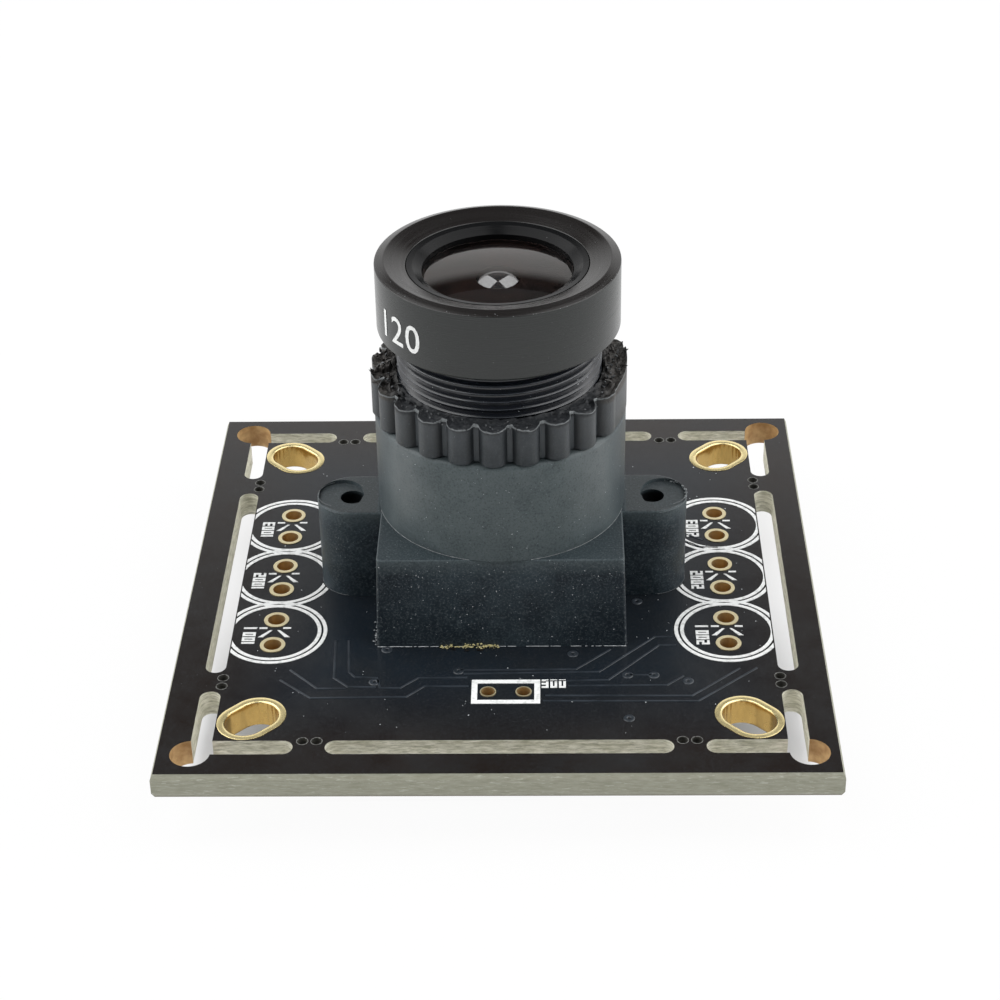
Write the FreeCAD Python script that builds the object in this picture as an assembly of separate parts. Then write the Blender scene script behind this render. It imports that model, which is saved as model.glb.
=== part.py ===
import FreeCAD
import Part
import math
import os

# Board camera module: a square circuit board with a rim that snaps off, a moulded
# lens holder on ears, a focusing lens with a male thread, and a toothed lock ring.
# Millimetres. The origin is the middle of the board's slots and holes, on its underside.
# +Z points out of the lens, -Y is the side with the light sensor's holes.

# Circuit board
board_w = 38.0            # width and depth of the top and bottom faces
board_t = 1.6
score_depth = 0.35        # depth of the V score, from each face
score_out = 0.15          # how far the broken web stands proud of the faces
rim_shift_x = -0.1        # the outline's middle, from the middle of the slots and holes
rim_shift_y = -0.05
rim_w = 1.68              # mean width of the rim outside the routed slots
slot_w = 1.2              # routed slots between the rim and the inner board
long_slot_half = 9.75     # half length of the slot along each side
corner_slot_end = 11.55   # where the slots from the corner holes end
corner_hole_r = 1.13
corner_hole_inset = 1.75  # mean distance of a hole's centre from the board's edges
bite_r = 0.27             # drilled break-off holes between the slots
bite_spread = 0.4         # half the distance between two of them
bite_inset = 0.05         # their line, outside the slot's inner edge

# Plated holes
plate_t = 0.04            # copper and gold on the faces and in the holes
mount_slot_w = 2.36       # diagonal mounting slots in the inner board's corners
mount_slot_len = 3.25
mount_slot_inset = 2.0    # slot centre from the inner board's edges
mount_rim = 0.45          # width of the gold around each slot
lead_hole_r = 0.525       # holes for the leads of the lamps
lead_rim = 0.23
lead_pitch = 2.55
lamp_pitch = 5.76
lamp_rows = 3
lamp_shift = 0.13         # lead columns stand this far inside the middle of their strip
sensor_hole_r = 0.4       # holes for the leads of the light sensor
sensor_rim = 0.07
sensor_hole_pitch = 2.05
sensor_shift_x = 0.3

# Print on the board
print_t = 0.03
print_gap = 0.08          # clearance of the print from holes, slots and the holder
ring_line = 0.22
ring_gap = 0.13           # gap between the two lines of a lamp outline
ring_r = 3.15             # outer radius of a lamp outline
frame_x = 3.96            # outline around the light sensor's holes
frame_y = 2.25
frame_line = 0.34
digit_h = 0.78
digit_w = 0.4
digit_gap = 0.1
digit_line = 0.15
number_out = 1.5          # lamp number's centre, to -X of its lead holes
number_down = 0.45        # and towards -Y
mark_reach = 0.95         # polarity mark's half width, between a lamp's lead holes
mark_h = 1.0
mark_line = 0.15

# Lens axis, as placed on the board
axis_x = 0.0
axis_y = 0.15

# Lens holder
base_draft = 0.2          # the square base is as wide as the tube below, and this much less above
base_h = 6.02
base_wall = 1.3
base_corner_r = 0.25
base_edge_r = 0.1
ledge_z = 4.6             # underside of the ledge over the sensor
ledge_t = 1.0
ledge_hole_r = 3.8
tube_wall = 1.38          # outside the thread's bore
holder_h = 12.4
tube_edge_r = 0.3
ear_pitch = 18.1          # distance between the two screws
ear_r = 2.1
ear_edge_r = 0.15
ear_hole_r = 0.72
ear_pocket_r = 1.32
ear_pocket_shift = 0.7    # pocket's centre, outside the screw's
ear_pocket_spread = 0.3   # the pocket is this much longer each way, along Y
ear_pocket_depth = 0.22

# Holder screws, driven from under the board
screw_r = 0.7
screw_depth = 5.0         # into the ear
screw_head_r = 1.7
screw_head_h = 1.1
screw_head_edge_r = 0.25
screw_hole_r = 1.1        # in the board
recess_w = 0.4
recess_len = 1.9
recess_depth = 0.6

# Lens barrel: one turned piece with a head and a threaded tail
thread_r = 5.975
thread_fit = 0.045        # radial clearance of the thread in the holder and the ring
thread_chamfer = 0.3
tail_z = 6.9              # rear end, above the board's top face
tail_hole_r = 3.4
shoulder_t = 1.2          # rear shoulder that the glass stack sits on
stack_bore_r = 4.2
head_r = 7.04
head_z = 17.77            # underside of the head, above the board's top face
head_h = 4.23
head_chamfer_w = 0.54
head_chamfer_h = 0.19
head_edge_r = 0.12
relief_h = 0.45           # undercut between the thread and the head
relief_r = 5.55
dish_r = 5.25             # inner edge of the shallow cone on the head
dish_depth = 0.4
front_drop = 1.45         # the front element's rim, below the top of the head
lens_digit_h = 1.85
lens_digit_w = 1.0
lens_digit_gap = 0.36
lens_digit_line = 0.22
lens_print_azimuth = -55.5   # degrees from -Y, seen from above
lens_print_z = 19.4       # centre height, above the board's top face

# Lens stack
fit_gap = 0.04            # radial clearance of the glass and the rings in the barrel
turn_gap = 0.03           # axial clearance between the stack and the barrel
front_rim_t = 1.65        # rim thickness of the front element
front_aperture = 4.45
front_bulge = 0.75
front_hollow_r = 1.2
front_hollow = 0.3
rear_t = 1.6
rear_spacer_t = 0.9
fourth_t = 2.0
stop_t = 0.2
stop_hole_r = 0.9
third_t = 2.0
middle_spacer_t = 1.7
second_t = 1.4
spacer_hole_r = 3.3
glass_aperture = 3.0      # radius of the curved faces of the inner elements
glass_bulge = 0.4
glass_hollow = 0.25
retainer_hole_r = 4.35
retainer_bevel_r = 4.88
retainer_drop = 0.4       # fall of the retaining ring's face towards the glass
retainer_edge = 0.06      # part of that fall outside the bevel
retainer_relief = 0.2     # undercut beside the glass

# Lock ring on the lens thread
ring_lobes = 23
ring_overhang = 0.15      # lobes beyond the holder's tube
ring_groove = 0.6         # depth between the lobes
lobe_r = 0.8
lobe_phase = -2.3         # degrees of one lobe from the -Y direction
lug_first = 4             # the lobes that end the smooth lug, counted from that lobe
lug_last = 7
lug_drop = 0.12           # the lug's radius is this much below the lobes'
lock_ring_h = 2.4
lock_ring_gap = 0.05      # above the holder

# Parts over the sensor
sensor_w = 8.0
sensor_t = 0.9
cover_w = 7.0
cover_t = 0.4
filter_w = 8.6
filter_t = 0.4

# Parts under the board
part_gap = 1.3            # space between neighbouring parts
processor_w = 8.0
processor_t = 0.85
flash_x = 4.9
flash_y = 3.9
flash_t = 1.45
flash_pitch = 1.27
flash_side_pins = 4       # leads along each side
crystal_x = 3.2
crystal_y = 2.5
crystal_t = 0.75
regulator_x = 2.9
regulator_y = 1.6
regulator_t = 1.1
regulator_pitch = 0.95
inductor_w = 3.8
inductor_t = 1.7
chip_len = 1.6            # small capacitors and resistors
chip_w = 0.8
capacitor_t = 0.8
resistor_t = 0.45
chip_end = 0.3
chip_pitch = 1.5
chip_rows = 5             # on each side of the processor
lead_t = 0.15
lead_w = 0.4
lead_out = 0.9
standoff = 0.1

# Connectors under the board, which it also stands on
conn_h = 3.0
conn_d = 3.6
conn_wall = 0.5
conn_floor = 0.8
pin_pitch = 1.25
pin_w = 0.4
cable_pins = 5
lamp_pins = 3
conn_end = 1.5            # housing beyond the end pins
conn_edge_gap = 0.7       # cable connector from the slot behind it
lamp_conn_x = 5.6
lamp_conn_edge_gap = 1.9  # lamp connector's mouth from the slot in front of it

past = 1.0                # cuts run this far past a face

# Worked out
half = board_w / 2
slot_line = half - rim_w - slot_w / 2
inner_half = slot_line - slot_w / 2
hole_at = half - corner_hole_inset
bite_at = (long_slot_half + corner_slot_end) / 2
mount_at = inner_half - mount_slot_inset
bore_r = thread_r + thread_fit
tube_r = bore_r + tube_wall
ear_at = ear_pitch / 2
ear_out = ear_at + ear_r
lamp_x = (ear_out + inner_half) / 2 - lamp_shift
top = board_t
base_top = top + base_h
base_half_bottom = tube_r
base_half_top = base_half_bottom - base_draft
holder_top = top + holder_h
tail = top + tail_z
head_bottom = top + head_z
head_top = head_bottom + head_h
stack_r = stack_bore_r - fit_gap
retainer_r = dish_r - fit_gap
front_z = head_top - front_drop
front_seat = front_z - front_rim_t
light_y = (axis_y - base_half_bottom - inner_half) / 2
lens_print_r = head_r + print_t
ring_out_r = tube_r + ring_overhang
ring_body_r = ring_out_r - ring_groove


def vec(x, y, z=0.0):
    return FreeCAD.Vector(x, y, z)


def box(x0, x1, y0, y1, z0, z1):
    return Part.makeBox(x1 - x0, y1 - y0, z1 - z0, vec(x0, y0, z0))


def centred_box(w, d, z0, z1, x=0.0, y=0.0):
    return box(x - w / 2, x + w / 2, y - d / 2, y + d / 2, z0, z1)


def cylinder(r, z0, z1, x=0.0, y=0.0):
    return Part.makeCylinder(r, z1 - z0, vec(x, y, z0))


def tube(r_in, r_out, z0, z1, x=0.0, y=0.0):
    return cylinder(r_out, z0, z1, x, y).cut(cylinder(r_in, z0, z1, x, y))


def stadium(width, length, z0, z1, x=0.0, y=0.0, angle=0.0):
    """A slot shape with round ends, its length turned by angle from +X."""
    r = width / 2
    run = (length - width) / 2
    ends = [cylinder(r, z0, z1, -run), cylinder(r, z0, z1, run)]
    shape = box(-run, run, -r, r, z0, z1).fuse(ends).removeSplitter()
    shape.rotate(vec(0, 0), vec(0, 0, 1), angle)
    shape.translate(vec(x, y))
    return shape


def stepped_block(levels):
    """A square block with flat sloping sides, from (half width, z) levels, bottom first."""
    outline = [(-e, z) for e, z in levels] + [(e, z) for e, z in reversed(levels)]
    reach = max(e for e, z in levels) + past
    loop = [vec(-reach, a, b) for a, b in outline]
    along_x = Part.Face(Part.makePolygon(loop + loop[:1])).extrude(vec(2 * reach, 0, 0))
    loop = [vec(a, -reach, b) for a, b in outline]
    along_y = Part.Face(Part.makePolygon(loop + loop[:1])).extrude(vec(0, 2 * reach, 0))
    return along_x.common(along_y).removeSplitter()


def prism(points, z0, z1):
    """A straight prism over a closed outline of XY points."""
    loop = [vec(x, y, z0) for x, y in points]
    face = Part.Face(Part.makePolygon(loop + loop[:1]))
    return face.extrude(vec(0, 0, z1 - z0))


def turned(points, x=0.0, y=0.0):
    """A solid turned about the vertical line through x, y from (radius, z) points."""
    loop = [vec(r, 0, z) for r, z in points]
    face = Part.Face(Part.makePolygon(loop + loop[:1]))
    shape = face.revolve(vec(0, 0), vec(0, 0, 1), 360)
    shape.translate(vec(x, y))
    return shape


def on_axis(shape):
    """Moves a shape made about the origin onto the lens axis."""
    shape.translate(vec(axis_x, axis_y))
    return shape


def fused(shapes):
    return shapes[0].fuse(shapes[1:]).removeSplitter()


def save(node, *shapes):
    solids = [solid for shape in shapes for solid in shape.Solids]
    whole = solids[0] if len(solids) == 1 else Part.makeCompound(solids)
    whole.exportStep(f"parts/{node}.step")


def four_corners():
    return [(sx, sy) for sx in (-1, 1) for sy in (-1, 1)]


# Board

def lead_holes():
    """Centres of the lamps' lead holes, a pair for each lamp, in two columns."""
    places = []
    for side in (-1, 1):
        for row in range(lamp_rows):
            places.append((rim_shift_x + side * lamp_x, (row - (lamp_rows - 1) / 2) * lamp_pitch))
    return places


def light_holes():
    return [(sensor_shift_x + side * sensor_hole_pitch / 2, light_y) for side in (-1, 1)]


def slot_cutters():
    z0, z1 = -past, board_t + past
    cutters = []
    for sx, sy in four_corners():
        cutters.append(cylinder(corner_hole_r, z0, z1, sx * hole_at, sy * hole_at))
        reach = hole_at - corner_slot_end
        middle = (hole_at + corner_slot_end) / 2
        cutters.append(stadium(slot_w, reach, z0, z1, sx * middle, sy * slot_line))
        cutters.append(stadium(slot_w, reach, z0, z1, sx * slot_line, sy * middle, 90))
        for step in (-bite_spread, bite_spread):
            along = bite_at + step
            across = inner_half + bite_inset
            cutters.append(cylinder(bite_r, z0, z1, sx * along, sy * across))
            cutters.append(cylinder(bite_r, z0, z1, sx * across, sy * along))
    for side in (-1, 1):
        cutters.append(stadium(slot_w, 2 * long_slot_half, z0, z1, 0, side * slot_line))
        cutters.append(stadium(slot_w, 2 * long_slot_half, z0, z1, side * slot_line, 0, 90))
    return cutters


def circuit_board():
    web = half + score_out
    board = stepped_block([(half, 0), (web, score_depth), (web, board_t - score_depth), (half, board_t)])
    board.translate(vec(rim_shift_x, rim_shift_y))
    z0, z1 = -past, board_t + past
    cutters = slot_cutters()
    for sx, sy in four_corners():
        width = mount_slot_w + 2 * plate_t
        length = mount_slot_len + 2 * plate_t
        cutters.append(stadium(width, length, z0, z1, sx * mount_at, sy * mount_at, 45 * sx * sy))
    for x, y in lead_holes():
        for step in (-lead_pitch / 2, lead_pitch / 2):
            cutters.append(cylinder(lead_hole_r + plate_t, z0, z1, x, y + step))
    for x, y in light_holes():
        cutters.append(cylinder(sensor_hole_r + plate_t, z0, z1, x, y))
    for side in (-1, 1):
        cutters.append(cylinder(screw_hole_r, z0, z1, axis_x + side * ear_at, axis_y))
    return board.cut(cutters)


def plated_hole(r, rim, x, y):
    """A gold sleeve through the board with a flat rim on each face."""
    wall = cylinder(r + plate_t, -plate_t, board_t + plate_t, x, y)
    rims = [cylinder(r + rim, -plate_t, 0, x, y), cylinder(r + rim, board_t, board_t + plate_t, x, y)]
    return fused([wall] + rims).cut(cylinder(r, -past, board_t + past, x, y))


def plated_slot(x, y, angle):
    """The gold sleeve of a mounting slot."""
    wide = mount_slot_w + 2 * mount_rim
    long = mount_slot_len + 2 * mount_rim
    sleeve = stadium(mount_slot_w + 2 * plate_t, mount_slot_len + 2 * plate_t,
                     -plate_t, board_t + plate_t, x, y, angle)
    rims = [stadium(wide, long, -plate_t, 0, x, y, angle),
            stadium(wide, long, board_t, board_t + plate_t, x, y, angle)]
    hole = stadium(mount_slot_w, mount_slot_len, -past, board_t + past, x, y, angle)
    return fused([sleeve] + rims).cut(hole)


# Print

SEGMENTS = {"0": "abcdef", "1": "bc", "2": "abged", "3": "abgcd"}


def digit_bars(text, width, height, gap, line):
    """The bars (x0, x1, y0, y1) of a plain number, centred on the origin."""
    middle = height / 2
    bars = {
        "a": (0, width, height - line, height),
        "b": (width - line, width, middle, height),
        "c": (width - line, width, 0, middle),
        "d": (0, width, 0, line),
        "e": (0, line, 0, middle),
        "f": (0, line, middle, height),
        "g": (0, width, middle - line / 2, middle + line / 2),
    }
    start = -(len(text) * (width + gap) - gap) / 2
    digits = []
    for place, digit in enumerate(text):
        left = start + place * (width + gap)
        rows = []
        for segment in SEGMENTS[digit]:
            x0, x1, y0, y1 = bars[segment]
            rows.append((left + x0, left + x1, y0 - middle, y1 - middle))
        digits.append(rows)
    return digits


def flat_number(text, x, y, angle):
    digits = []
    for rows in digit_bars(text, digit_w, digit_h, digit_gap, digit_line):
        digit = fused([box(x0, x1, y0, y1, board_t, board_t + print_t) for x0, x1, y0, y1 in rows])
        digit.rotate(vec(0, 0), vec(0, 0, 1), angle)
        digit.translate(vec(x, y))
        digits.append(digit)
    return digits


def polarity_mark(x, y):
    """Two short bars over two strokes that slant outward, between a lamp's lead holes."""
    z0, z1 = board_t, board_t + print_t
    high = mark_h / 2
    pieces = []
    for side in (-1, 1):
        bar = sorted((x + side * mark_reach / 2, x + side * mark_reach))
        pieces.append(box(*bar, y + high - mark_line, y + high, z0, z1))
        corners = [(mark_line, high - 2 * mark_line), (2 * mark_line, high - 2 * mark_line),
                   (mark_reach, -high), (mark_reach - 2 * mark_line, -high)]
        pieces.append(prism([(x + side * a, y + b) for a, b in corners], z0, z1))
    clear = lead_hole_r + lead_rim + print_gap
    pads = [cylinder(clear, z0 - past, z1 + past, x, y + step)
            for step in (-lead_pitch / 2, lead_pitch / 2)]
    return [piece.cut(pads) for piece in pieces]


def ear_footprint(spread, z0, z1, side):
    """The outline of one ear in plan, grown by spread."""
    r = ear_r + spread
    x = axis_x + side * ear_at
    arm = box(*sorted((axis_x, x)), axis_y - r, axis_y + r, z0, z1)
    return arm.fuse(cylinder(r, z0, z1, x, axis_y))


def board_print():
    z0, z1 = board_t, board_t + print_t
    keep = inner_half - print_gap
    inside = centred_box(2 * keep, 2 * keep, z0 - past, z1 + past)
    lines = []
    numbers = []
    for place, (x, y) in enumerate(lead_holes()):
        lines.append(tube(ring_r - ring_line, ring_r, z0, z1, x, y))
        inner = ring_r - ring_line - ring_gap
        lines.append(tube(inner - ring_line, inner, z0, z1, x, y))
        numbers += polarity_mark(x, y)
        column, row = divmod(place, lamp_rows)
        numbers += flat_number(f"{column + 1}00{row + 1}", x - number_out, y - number_down, 90)
    rings = fused(lines).common(inside)
    rings = rings.cut([ear_footprint(print_gap, z0 - past, z1 + past, side) for side in (-1, 1)])
    outer = centred_box(frame_x, frame_y, z0, z1, sensor_shift_x, light_y)
    hole = centred_box(frame_x - 2 * frame_line, frame_y - 2 * frame_line, z0, z1,
                       sensor_shift_x, light_y)
    label_x = sensor_shift_x + frame_x / 2 + print_gap + 1.5 * digit_w + digit_gap
    numbers += flat_number("300", label_x, light_y + frame_y / 2 - digit_h / 2, 0)
    return [rings, outer.cut(hole)] + numbers


# Holder

def lens_holder():
    base = stepped_block([(base_half_bottom, top), (base_half_top, base_top)])
    base = base.makeFillet(base_corner_r, [edge for edge in base.Edges if rises(edge, base_h / 2)])
    base = base.makeFillet(base_edge_r, [edge for edge in base.Edges if lies_at(edge, base_top)])
    neck = cylinder(tube_r, base_top, holder_top)
    neck = neck.makeFillet(tube_edge_r, [edge for edge in neck.Edges if lies_at(edge, holder_top)])
    body = fused([on_axis(base), ear(-1), ear(1), on_axis(neck)])
    room = base_half_top - base_wall
    inside = [
        on_axis(centred_box(2 * room, 2 * room, top, top + ledge_z)),
        on_axis(cylinder(ledge_hole_r, top, holder_top)),
        on_axis(cylinder(bore_r, top + ledge_z + ledge_t, holder_top)),
    ]
    for side in (-1, 1):
        x = axis_x + side * ear_at
        pocket_x = x + side * ear_pocket_shift
        pocket = stadium(2 * ear_pocket_r, 2 * (ear_pocket_r + ear_pocket_spread),
                         base_top - ear_pocket_depth, base_top + past, pocket_x, axis_y, 90)
        inside += [cylinder(ear_hole_r, top, base_top, x, axis_y), pocket]
    return body.cut(inside)


def rises(edge, height):
    return edge.BoundBox.ZLength > height


def lies_at(edge, z):
    return abs(edge.BoundBox.ZMin - z) < 0.01 and abs(edge.BoundBox.ZMax - z) < 0.01


def ear(side):
    shape = ear_footprint(0, top, base_top, side).removeSplitter()
    rim = [edge for edge in shape.Edges
           if lies_at(edge, base_top) and side * (edge.CenterOfMass.x - axis_x) > ear_r / 2]
    return shape.makeFillet(ear_edge_r, rim)


def holder_screw(side):
    x = axis_x + side * ear_at
    shank = cylinder(screw_r, 0, top + screw_depth, x, axis_y)
    head = cylinder(screw_head_r, -screw_head_h, 0, x, axis_y)
    rim = [edge for edge in head.Edges if lies_at(edge, -screw_head_h)]
    head = head.makeFillet(screw_head_edge_r, rim)
    recess = [centred_box(recess_len, recess_w, -screw_head_h, recess_depth - screw_head_h, x, axis_y),
              centred_box(recess_w, recess_len, -screw_head_h, recess_depth - screw_head_h, x, axis_y)]
    return head.fuse(shank).removeSplitter().cut(recess)


# Lock ring

def lock_ring():
    z0 = holder_top + lock_ring_gap
    z1 = z0 + lock_ring_h
    pitch = 360 / ring_lobes
    lug = Part.makeCylinder(ring_out_r - lug_drop, lock_ring_h, vec(0, 0, z0), vec(0, 0, 1),
                            (lug_last - lug_first) * pitch)
    lug.rotate(vec(0, 0), vec(0, 0, 1), lobe_phase + lug_first * pitch - 90)
    shapes = [cylinder(ring_body_r, z0, z1), lug]
    reach = ring_out_r - lobe_r
    for lobe in range(ring_lobes):
        if lug_first < lobe < lug_last:
            continue
        angle = math.radians(lobe_phase + lobe * pitch)
        shapes.append(cylinder(lobe_r, z0, z1, reach * math.sin(angle), -reach * math.cos(angle)))
    ring = fused(shapes).cut(cylinder(bore_r, z0 - past, z1 + past))
    return on_axis(ring)


# Lens barrel and its stack of glass

def lens_barrel():
    neck = head_bottom - relief_h
    points = [
        (tail_hole_r, tail),
        (thread_r - thread_chamfer, tail),
        (thread_r, tail + thread_chamfer),
        (thread_r, neck),
        (relief_r, neck),
        (relief_r, head_bottom),
        (head_r - head_edge_r, head_bottom),
        (head_r, head_bottom + head_edge_r),
        (head_r, head_top - head_chamfer_h),
        (head_r - head_chamfer_w, head_top),
        (dish_r, head_top - dish_depth),
        (dish_r, front_seat),
        (stack_bore_r, front_seat),
        (stack_bore_r, tail + shoulder_t),
        (tail_hole_r, tail + shoulder_t),
    ]
    return turned(points, axis_x, axis_y)


def cap(r, bulge):
    """Radius of the sphere whose cap of radius r rises by bulge."""
    return (r * r + bulge * bulge) / (2 * abs(bulge))


def curved_edge(r, z, bulge, outward):
    """An arc from the rim of a curved face at radius r to the axis, at height z + bulge."""
    sphere = cap(r, bulge)
    sag = sphere - math.sqrt(sphere * sphere - r * r / 4)
    middle = z + bulge - math.copysign(sag, bulge)
    ends = [vec(r, 0, z), vec(r / 2, 0, middle), vec(0, 0, z + bulge)]
    return Part.Arc(*(ends if outward else ends[::-1])).toShape()


def element(rim, z0, z1, front_r, front_rise, rear_r, rear_rise):
    """A round glass element. A rise is where the face's middle lies above its rim."""
    edges = [
        Part.LineSegment(vec(rear_r, 0, z0), vec(rim, 0, z0)).toShape(),
        Part.LineSegment(vec(rim, 0, z0), vec(rim, 0, z1)).toShape(),
        Part.LineSegment(vec(rim, 0, z1), vec(front_r, 0, z1)).toShape(),
        curved_edge(front_r, z1, front_rise, True),
        Part.LineSegment(vec(0, 0, z1 + front_rise), vec(0, 0, z0 + rear_rise)).toShape(),
        curved_edge(rear_r, z0, rear_rise, False),
    ]
    face = Part.Face(Part.Wire(edges))
    return on_axis(face.revolve(vec(0, 0), vec(0, 0, 1), 360))


def lens_stack():
    """The inner elements and spacers, from the rear shoulder up to the front seat."""
    parts = {}
    z = tail + shoulder_t + turn_gap
    steps = [
        ("rear_element", rear_t, glass_bulge, -glass_hollow),
        ("rear_spacer", rear_spacer_t, None, None),
        ("fourth_element", fourth_t, -glass_hollow, -glass_bulge),
        ("aperture_stop", stop_t, None, None),
        ("third_element", third_t, glass_bulge, glass_hollow),
        ("middle_spacer", middle_spacer_t, None, None),
        ("second_element", second_t, glass_bulge, 2 * glass_bulge),
    ]
    for name, thick, front_rise, rear_rise in steps:
        if name == "aperture_stop":
            parts[name] = on_axis(tube(stop_hole_r, stack_r, z, z + thick))
        elif front_rise is None:
            parts[name] = on_axis(tube(spacer_hole_r, stack_r, z, z + thick))
        else:
            parts[name] = element(stack_r, z, z + thick, glass_aperture, front_rise,
                                  glass_aperture, rear_rise)
        z += thick
    parts["front_spacer"] = on_axis(tube(spacer_hole_r, stack_r, z, front_seat + turn_gap))
    parts["front_element"] = element(dish_r - fit_gap, front_seat + turn_gap, front_z,
                                     front_aperture, front_bulge, front_hollow_r, front_hollow)
    return parts


def front_retaining_ring():
    face = head_top - dish_depth
    z0 = front_z + turn_gap
    points = [
        (retainer_hole_r + retainer_relief, z0),
        (retainer_r, z0),
        (retainer_r, face),
        (retainer_bevel_r, face - retainer_edge),
        (retainer_hole_r, face - retainer_drop),
        (retainer_hole_r, z0 + retainer_relief),
    ]
    return turned(points, axis_x, axis_y)


def lens_print():
    """A plain number on the side of the head, each bar bent to the head's curve."""
    digits = []
    centre = top + lens_print_z
    for rows in digit_bars("120", lens_digit_w, lens_digit_h, lens_digit_gap, lens_digit_line):
        bars = []
        for x0, x1, y0, y1 in rows:
            turn = math.degrees(x0 / head_r) + lens_print_azimuth - 90
            span = math.degrees((x1 - x0) / head_r)
            bar = Part.makeCylinder(lens_print_r, y1 - y0, vec(0, 0, centre + y0), vec(0, 0, 1), span)
            bar = bar.cut(cylinder(head_r, centre + y0 - past, centre + y1 + past))
            bar.rotate(vec(0, 0), vec(0, 0, 1), turn)
            bars.append(bar)
        digits.append(on_axis(fused(bars)))
    return digits


# Parts under the board, all hanging below z = 0

def chip(x, y, thick):
    """A small two-ended chip: its body and its two metal ends."""
    out = chip_len / 2
    run = out - chip_end
    y0, y1 = y - chip_w / 2, y + chip_w / 2
    return [box(x + a, x + b, y0, y1, -thick, 0) for a, b in ((-run, run), (-out, -run), (run, out))]


def gull_leads(x, y, body_y, thick, places, side):
    """Bent leads along one side of a body, their feet on the board."""
    shapes = []
    sy = side * body_y / 2
    mid = -standoff - thick / 2
    for place in places:
        outline = [(0, mid), (0, mid - lead_t), (lead_out / 2, mid - lead_t),
                   (lead_out / 2, -lead_t), (lead_out, -lead_t), (lead_out, 0),
                   (lead_out / 2 - lead_t, 0), (lead_out / 2 - lead_t, mid)]
        loop = [vec(x + place - lead_w / 2, y + sy + side * a, b) for a, b in outline]
        face = Part.Face(Part.makePolygon(loop + loop[:1]))
        shapes.append(face.extrude(vec(lead_w, 0, 0)))
    return shapes


def leaded_body(x, y, w, d, thick):
    return centred_box(w, d, -standoff - thick, -standoff, x, y)


def connector(x, mouth_y, pins, side):
    """A side-entry connector housing and its pins. side is the way its mouth faces in Y."""
    width = (pins - 1) * pin_pitch + 2 * conn_end
    y0, y1 = sorted((mouth_y, mouth_y - side * conn_d))
    housing = box(x - width / 2, x + width / 2, y0, y1, -conn_h, 0)
    c0, c1 = sorted((mouth_y, mouth_y - side * (conn_d - conn_floor)))
    housing = housing.cut(box(x - width / 2 + conn_wall, x + width / 2 - conn_wall, c0, c1,
                              conn_wall - conn_h, -conn_wall))
    contacts = []
    for pin in range(pins):
        px = x + (pin - (pins - 1) / 2) * pin_pitch
        back = mouth_y - side * conn_d
        inner = mouth_y - side * conn_wall
        p0, p1 = sorted((back, inner))
        middle = -conn_h / 2
        blade = box(px - pin_w / 2, px + pin_w / 2, p0, p1, middle - pin_w / 2, middle + pin_w / 2)
        f0, f1 = sorted((back, back - side * pin_w))
        drop = box(px - pin_w / 2, px + pin_w / 2, f0, f1, middle - pin_w / 2, 0)
        foot0, foot1 = sorted((back, back - side * (pin_w + lead_out)))
        foot = box(px - pin_w / 2, px + pin_w / 2, foot0, foot1, -lead_t, 0)
        contacts.append(fused([blade, drop, foot]))
    return housing.cut(contacts), contacts


def underside():
    save("processor", centred_box(processor_w, processor_w, -processor_t, 0, axis_x, axis_y))
    flash_at = (axis_x - ear_at,
                axis_y + screw_head_r + part_gap + lead_out + flash_y / 2)
    save("flash_chip", leaded_body(*flash_at, flash_x, flash_y, flash_t))
    pins = [(n - (flash_side_pins - 1) / 2) * flash_pitch for n in range(flash_side_pins)]
    save("flash_chip_leads", *gull_leads(*flash_at, flash_y, flash_t, pins, 1),
         *gull_leads(*flash_at, flash_y, flash_t, pins, -1))
    high_y = axis_y + processor_w / 2 + part_gap
    save("clock_crystal", centred_box(crystal_x, crystal_y, -crystal_t, 0,
                                      axis_x, high_y + crystal_y / 2))
    low_y = axis_y - processor_w / 2 - part_gap
    reg_y = low_y - regulator_y / 2 - lead_out
    reg_xs = [axis_x - processor_w / 2 + n * (regulator_x + part_gap) for n in range(2)]
    save("voltage_regulators",
         *[leaded_body(x, reg_y, regulator_x, regulator_y, regulator_t) for x in reg_xs])
    leads = []
    for x in reg_xs:
        outer = (-regulator_pitch, regulator_pitch)
        leads += gull_leads(x, reg_y, regulator_y, regulator_t, outer + (0,), 1)
        leads += gull_leads(x, reg_y, regulator_y, regulator_t, outer, -1)
    save("regulator_leads", *leads)
    inductor_x = reg_xs[0] - regulator_x / 2 - part_gap - inductor_w / 2
    inductor_y = low_y - inductor_w / 2
    save("power_inductor", centred_box(inductor_w, inductor_w, -inductor_t, 0,
                                       inductor_x, inductor_y))
    bodies = {"ceramic_capacitors": [], "chip_resistors": []}
    ends = []
    for side in (-1, 1):
        column = axis_x + side * (processor_w / 2 + part_gap + chip_w / 2)
        for n in range(chip_rows):
            place = axis_y + (n - (chip_rows - 1) / 2) * chip_pitch
            name = "ceramic_capacitors" if (n + side) % 2 else "chip_resistors"
            thick = capacitor_t if name == "ceramic_capacitors" else resistor_t
            body, *caps = chip(column, place, thick)
            bodies[name].append(body)
            ends += caps
    for name, shapes in bodies.items():
        save(name, *shapes)
    save("chip_terminals", *ends)
    cable_width = (cable_pins - 1) * pin_pitch + 2 * conn_end
    housing, contacts = connector(axis_x - cable_width / 4, inner_half - conn_edge_gap, cable_pins, 1)
    save("cable_connector_housing", housing)
    save("cable_connector_pins", *contacts)
    housing, contacts = connector(lamp_conn_x, lamp_conn_edge_gap - inner_half, lamp_pins, -1)
    save("lamp_connector_housing", housing)
    save("lamp_connector_pins", *contacts)


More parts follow.
